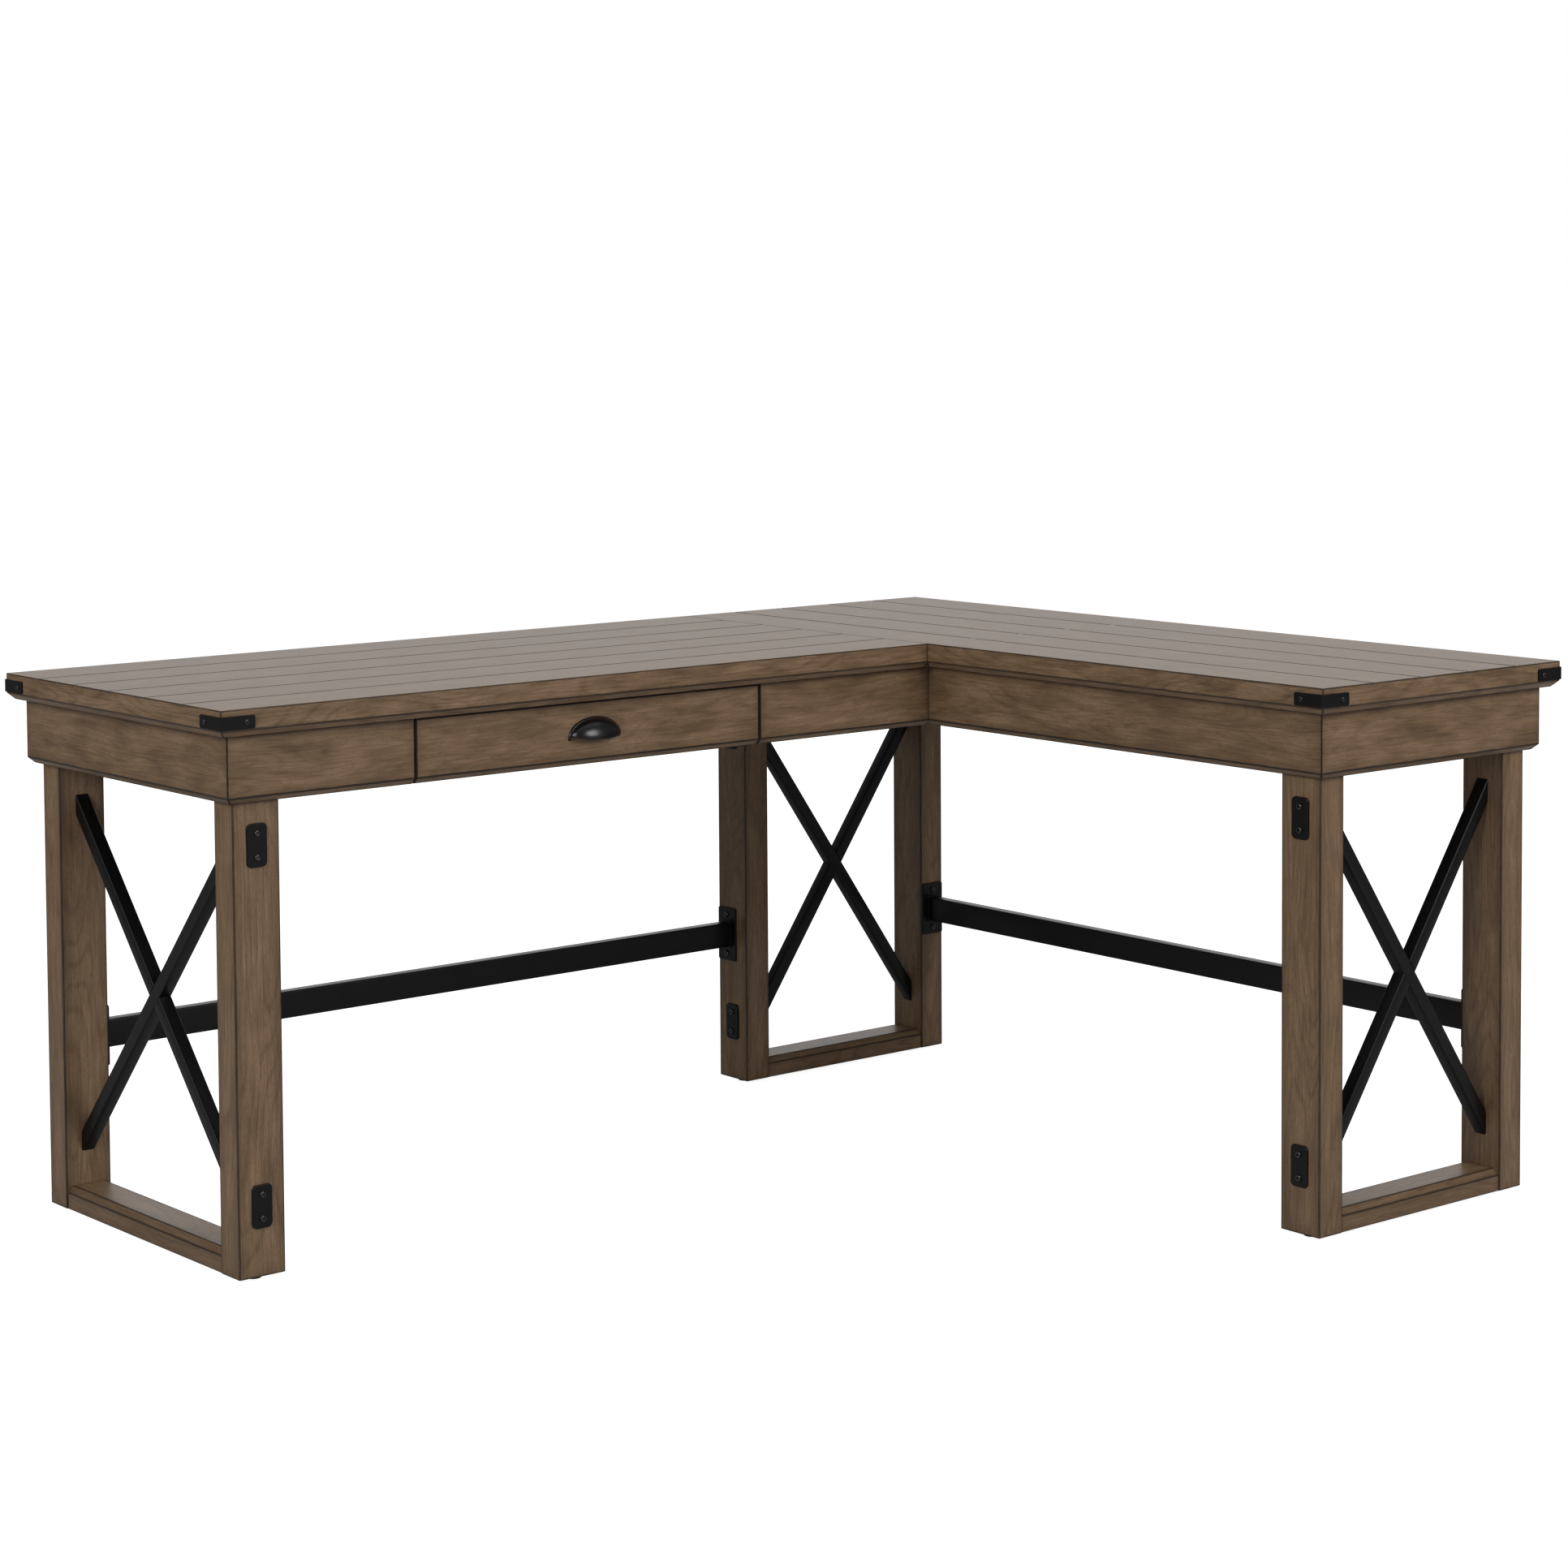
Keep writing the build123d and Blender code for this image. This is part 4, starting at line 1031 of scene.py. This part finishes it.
@dataclass
class CupPull:
    """The drawer's half-round cup pull: a thin shell with a rolled rim that ends in two round feet."""

    enamel: bpy.types.Material
    rim: float = 2.5 * MM
    rim_height: float = 3.2 * MM
    foot_drop: float = 4 * MM
    wall: float = 1.7 * MM
    shell_inset: float = 1.5 * MM  # inside the rim's outline
    lip_flatness: float = 0.6
    foot_end: float = 0.02  # share of the rim's size at a foot's end, where a face closes it
    lip_lift: float = 4 * MM  # above the arch's ends, beside the rim
    lip_drop: float = 2.3 * MM  # below the arch's ends, at the front
    arch_steps: int = 48
    bow_steps: int = 20
    lip_steps: int = 6
    rim_steps: int = 12
    foot_steps: int = 6
    centre: Vector = field(init=False)
    half: float = field(init=False)
    depth: float = field(init=False)
    rise: float = field(init=False)

    def __post_init__(self) -> None:
        """Takes the pull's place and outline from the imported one."""
        low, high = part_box("cup_pull")
        self.centre = Vector(((low.x + high.x) / 2, high.y, low.z + self.foot_drop))
        self.half = (high.x - low.x) / 2
        self.depth = high.y - low.y
        self.rise = high.z - self.centre.z

    def build(self) -> Iterator[bpy.types.Object]:
        """Makes the pull.

        Returns:
            The finished piece.
        """
        bm = bmesh.new()
        self.shell(bm)
        self.rolled_rim(bm)
        bmesh.ops.remove_doubles(bm, verts=bm.verts, dist=TOUCH)
        bmesh.ops.recalc_face_normals(bm, faces=bm.faces)
        yield round_shaded(piece(bm, "cup_pull_shell", self.enamel, Body.DRAWER, ["cup_pull"]), 60)

    def shell(self, bm: bmesh.types.BMesh) -> None:
        """Adds the cup: an outer skin, a rounded lip and an inner skin.

        Args:
            bm: the pull so far.
        """
        outside = self.shell_inset
        bow = steps(90, self.bow_steps)
        lip = steps(180, self.lip_steps)[1:-1]
        rows = []
        for arch in steps(180, self.arch_steps):
            row = [self.skin(arch, turn, outside) for turn in bow]
            middle = self.skin(arch, math.radians(90), outside + self.wall / 2)
            outer = row[-1] - middle
            below = Axis.Z.vector * outer.length * self.lip_flatness
            row += [middle + outer * math.cos(turn) - below * math.sin(turn) for turn in lip]
            row += [self.skin(arch, turn, outside + self.wall) for turn in reversed(bow)]
            rows.append([bm.verts.new(point) for point in row])
        skin_rows(bm, rows)

    def skin(self, arch: float, bow: float, inset: float) -> Vector:
        """A point on the cup's skin.

        Args:
            arch: the angle along the arch, from one foot to the other.
            bow: the angle out from the wood, to the lip.
            inset: how far the skin lies inside the pull's outline.

        Returns:
            The point.
        """
        out = math.sin(arch) * (self.depth - inset) * math.sin(bow)
        up = math.sin(arch) * (self.rise - inset) * math.cos(bow)
        lip = self.lip_lift - (self.lip_lift + self.lip_drop) * math.sin(arch)
        up += math.sin(bow) ** 2 * lip
        return self.centre + Vector((math.cos(arch) * (self.half - inset), -out, up))

    def rolled_rim(self, bm: bmesh.types.BMesh) -> None:
        """Adds the rim along the arch, down to its rounded feet.

        Args:
            bm: the pull so far.
        """
        reach = self.half - self.rim
        height = self.rise - self.rim
        foot = self.rim - self.foot_drop
        path = []
        for turn in steps(90, self.foot_steps)[:-1]:
            at = Vector((reach, 0, foot - self.rim * math.cos(turn)))
            path.append((at, 0.0, math.sin(turn)))
        ball = list(path)
        for arch in steps(180, self.arch_steps):
            at = Vector((math.cos(arch) * reach, 0, math.sin(arch) * height))
            lean = math.atan2(math.sin(arch) * reach, math.cos(arch) * height)
            path.append((at, lean, 1.0))
        path += [(Vector((-at.x, 0, at.z)), math.pi, share) for at, _, share in reversed(ball)]
        rows = []
        for at, lean, share in path:
            away = Vector((math.cos(lean), 0, math.sin(lean))) * self.rim
            out = -Axis.Y.vector * self.rim_height
            size = max(share, self.foot_end)
            row = [away * math.cos(turn) + out * math.sin(turn) for turn in steps(180, self.rim_steps)]
            rows.append([bm.verts.new(self.centre + at + point * size) for point in row])
        skin_rows(bm, rows)
        for row in (rows[0], rows[-1]):
            bm.faces.new(row)


def steps(degrees: float, count: int) -> list[float]:
    """The angles from nought to some degrees in even steps, in radians."""
    return [math.radians(degrees) * i / count for i in range(count + 1)]


def skin_rows(bm: bmesh.types.BMesh, rows: list[list[bmesh.types.BMVert]]) -> None:
    """Joins rows of points, each a closed loop, into a skin.

    Args:
        bm: the piece.
        rows: the rows, all of one length.
    """
    for near, far in zip(rows, rows[1:]):
        for i in range(len(near)):
            j = (i + 1) % len(near)
            bm.faces.new((near[i], near[j], far[j], far[i]))


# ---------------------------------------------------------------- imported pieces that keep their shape


@dataclass
class Dressed:
    """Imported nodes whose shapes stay, in one finish."""

    nodes: tuple[str, ...]
    finish: bpy.types.Material

    def build(self, shown: dict[str, bpy.types.Object]) -> Iterator[bpy.types.Object]:
        """Puts the finish on each node.

        Args:
            shown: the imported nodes' objects by name.

        Returns:
            The nodes' objects.
        """
        for node in self.nodes:
            for slot in shown[node].material_slots:
                slot.material = self.finish
            yield shown[node]


# ---------------------------------------------------------------- studio


@dataclass(frozen=True)
class SoftBox:
    """One rectangular soft box: its place and the point it faces in metres, and its power in watts."""

    name: str
    place: tuple[float, float, float]
    aim: tuple[float, float, float]
    size: tuple[float, float]
    power: float

    def hang(self) -> None:
        """Hangs the light, facing its point."""
        light = bpy.data.lights.new(self.name, "AREA")
        light.shape = "RECTANGLE"
        light.size, light.size_y = self.size
        light.energy = self.power
        lamp = bpy.data.objects.new(self.name, light)
        lamp.location = self.place
        facing = Vector(self.aim) - Vector(self.place)
        lamp.rotation_euler = facing.to_track_quat("-Z", "Y").to_euler()
        bpy.context.scene.collection.objects.link(lamp)


@dataclass
class Studio:
    """A pale floor, soft boxes and the camera."""

    station: tuple[float, float, float] = (-3.1225, -3.7815, 1.308)
    heading: float = 39.54
    pitch: float = -3.4
    roll: float = -0.36
    lens: float = 80.0
    shift: float = -0.1894
    floor_size: float = 40.0
    floor_colour: str = "#c4c4c4"
    floor_lift: float = 0.92  # brings the floor up to the white behind it, for the camera only
    room_light: float = 0.2
    boxes: tuple[SoftBox, ...] = (
        SoftBox("key", (-4.6, -1.4, 2.7), (0.0, 0.0, 0.4), (2.0, 2.0), 105),
        SoftBox("side", (-2.6, 0.5, 1.7), (-0.9, 0.3, 0.5), (1.2, 1.0), 5),
        SoftBox("fill", (0.7, -4.5, 2.8), (0.2, 0.0, 0.4), (2.0, 2.0), 115),
        SoftBox("overhead", (0.0, 0.0, 3.4), (0.0, 0.0, 0.0), (3.6, 3.0), 20),
        SoftBox("backdrop", (3.6, 4.4, 1.9), (0.0, 0.0, 0.6), (7.0, 3.0), 62),
    )

    def build(self) -> None:
        """Sets up the floor, the light and the camera."""
        self.floor()
        self.sky()
        for box in self.boxes:
            box.hang()
        self.camera()

    def floor(self) -> None:
        """Lays the floor."""
        bm = bmesh.new()
        bmesh.ops.create_grid(bm, x_segments=1, y_segments=1, size=self.floor_size)
        mesh = bpy.data.meshes.new("floor")
        bm.to_mesh(mesh)
        bm.free()
        material, tree = fresh_material("pale_floor_paint")
        paint = add(tree, "BsdfDiffuse", {"Color": linear(self.floor_colour)}).outputs[0]
        seen = add(tree, "LightPath").outputs["Is Camera Ray"]
        lift = add(tree, "Math", {0: seen, 1: self.floor_lift}, operation="MULTIPLY").outputs[0]
        lift = add(tree, "Emission", {"Color": linear("#ffffff"), "Strength": lift}).outputs[0]
        add(tree, "OutputMaterial", {"Surface": add(tree, "AddShader", {0: paint, 1: lift}).outputs[0]})
        mesh.materials.append(material)
        made = bpy.data.objects.new("floor", mesh)
        bpy.context.scene.collection.objects.link(made)

    def sky(self) -> None:
        """Fills the room with soft light, white behind the desk."""
        world = bpy.data.worlds.new("studio")
        world.use_nodes = True
        tree = world.node_tree
        tree.nodes.clear()
        seen = add(tree, "LightPath").outputs["Is Camera Ray"]
        dim = add(tree, "Background", {"Color": linear("#ffffff"), "Strength": self.room_light}).outputs[0]
        white = add(tree, "Background", {"Color": linear("#ffffff"), "Strength": 1.0}).outputs[0]
        mix = add(tree, "MixShader", {0: seen, 1: dim, 2: white}).outputs[0]
        add(tree, "OutputWorld", {"Surface": mix})
        bpy.context.scene.world = world
        bpy.context.scene.view_settings.view_transform = "Standard"

    def camera(self) -> None:
        """Sets up the camera."""
        data = bpy.data.cameras.new("camera")
        data.lens = self.lens
        data.sensor_width = 36.0
        data.shift_y = self.shift
        made = bpy.data.objects.new("camera", data)
        turn = Matrix.Rotation(math.radians(-self.heading), 4, "Z")
        turn @= Matrix.Rotation(math.radians(90 + self.pitch), 4, "X")
        turn @= Matrix.Rotation(math.radians(self.roll), 4, "Z")
        made.matrix_world = Matrix.Translation(self.station) @ turn
        bpy.context.scene.collection.objects.link(made)
        bpy.context.scene.camera = made


# ---------------------------------------------------------------- the desk


def main() -> None:
    """Builds the desk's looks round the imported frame."""
    logging.basicConfig(level=logging.INFO, format="%(name)s: %(message)s")
    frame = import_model()
    shown = frame["nodes"]

    # The planks and the legs get thinner, lighter arris lines of glaze and painted shade; the planks also
    # get less painted shade near their arrises.
    plank = StainedVeneer("stained_plank_veneer", rings=0.12, clouds=0.7, painted_edge_shade=0.1, line_mm=1.1, line=0.8)
    plank = plank.material()
    figured = StainedVeneer("stained_figured_veneer").material()
    turned = StainedVeneer("stained_solid_rubberwood", clouds=0.6, rings=0.14, line_mm=1.1, line=0.8)
    turned = turned.material()
    powder = CoatedSteel("black_powder_coat", "#070708", "#0c0c0d", 0.36, 0.9, 0.05, coat=0.0, specular=0.25)
    powder = powder.material()
    bolt_black = CoatedSteel("black_oxide", "#070708", "#0c0c0e", 0.16, 0.6, 0.01, coat=0.5, specular=0.5)
    bolt_black = bolt_black.material()
    enamel = CoatedSteel("black_stove_enamel", "#030304", "#060607", 0.3, 3.0, 0.01, coat=0.0, specular=0.45)
    enamel = enamel.material()
    zinc = PlatedSteel("zinc_plated_screw", "#8d8f90", "#c4c5c3", Axis.Z).material()
    slide = PlatedSteel("zinc_plated_slide", "#85888b", "#b4b7ba", Axis.Y).material()
    nylon = MouldedNylon("moulded_nylon").material()
    rail_wood = SolidWood("planed_rail_wood", Axis.Z).material()
    partition_wood = SolidWood("planed_partition_wood", Axis.Y).material()
    drawer_wood_y = SolidWood("drawer_side_wood", Axis.Y, "#6a5440", "#957a5d").material()
    drawer_wood_x = SolidWood("drawer_cross_wood", Axis.X, "#6a5440", "#957a5d").material()

    left, right = Vector((-1, 0, 0)), Vector((1, 0, 0))
    front, back = Vector((0, -1, 0)), Vector((0, 1, 0))
    parts = [
        Worktop("main_top", 6, Axis.X, plank),
        Worktop("return_top", 5, Axis.Y, plank),
        Apron("front_panel_left", front, figured, mitre_high=False),
        Apron("front_panel_right", front, figured, mitre_low=False, mitre_high=False),
        Apron("drawer_front", front, figured, mitre_low=False, mitre_high=False, body=Body.DRAWER),
        Apron("main_end_apron", left, figured),
        Apron("main_back_apron", back, figured, mitre_high=False),
        Apron("return_inner_apron", left, figured),
        Apron("return_front_apron", front, figured),
        Apron("return_outer_apron", right, figured),
        Apron("return_back_apron", back, figured),
        LegFrame("left", ("left_leg_front", "left_leg_rear"), Axis.Y, turned, powder),
        LegFrame("back", ("back_leg_inner", "back_leg_outer"), Axis.X, turned, powder),
        LegFrame("front", ("front_leg_inner", "front_leg_outer"), Axis.X, turned, powder),
        Stretcher("main_stretcher", Axis.X, powder),
        Stretcher("return_stretcher", Axis.Y, powder),
        CupPull(enamel),
    ]
    slots = {powder: "black_steel", enamel: "pull_enamel"}
    for part in parts:
        for made in part.build():
            slots.get(made.active_material, "stained_wood")
            LOG.info("%s: %d faces", made.name, len(made.data.polygons))
    dressed = [
        Dressed(("stretcher_flanges", "leg_plates", "corner_brackets"), powder),
        Dressed(("leg_plate_bolts", "stretcher_bolts", "bracket_screws"), bolt_black),
        Dressed(("block_screws", "top_screws", "slide_screws", "joining_bolts"), zinc),
        Dressed(("pull_screws", "drawer_front_screws"), zinc),
        Dressed(("slide_case_left", "slide_case_right", "slide_carrier_left"), slide),
        Dressed(("slide_carrier_right", "slide_runner_left", "slide_runner_right"), slide),
        Dressed(("glides",), nylon),
        Dressed(("corner_blocks",), rail_wood),
        Dressed(("main_inner_apron", "drawer_partition_left", "drawer_partition_right"), partition_wood),
        Dressed(("left_top_rail", "drawer_side_left", "drawer_side_right"), drawer_wood_y),
        Dressed(("back_top_rail", "front_top_rail", "drawer_box_front"), drawer_wood_x),
        Dressed(("drawer_box_back", "drawer_bottom"), drawer_wood_x),
    ]
    for part in dressed:
        for made in part.build(shown):
            LOG.info("%s: finished", made.name)
    Studio().build()


if __name__ == "__main__":
    main()
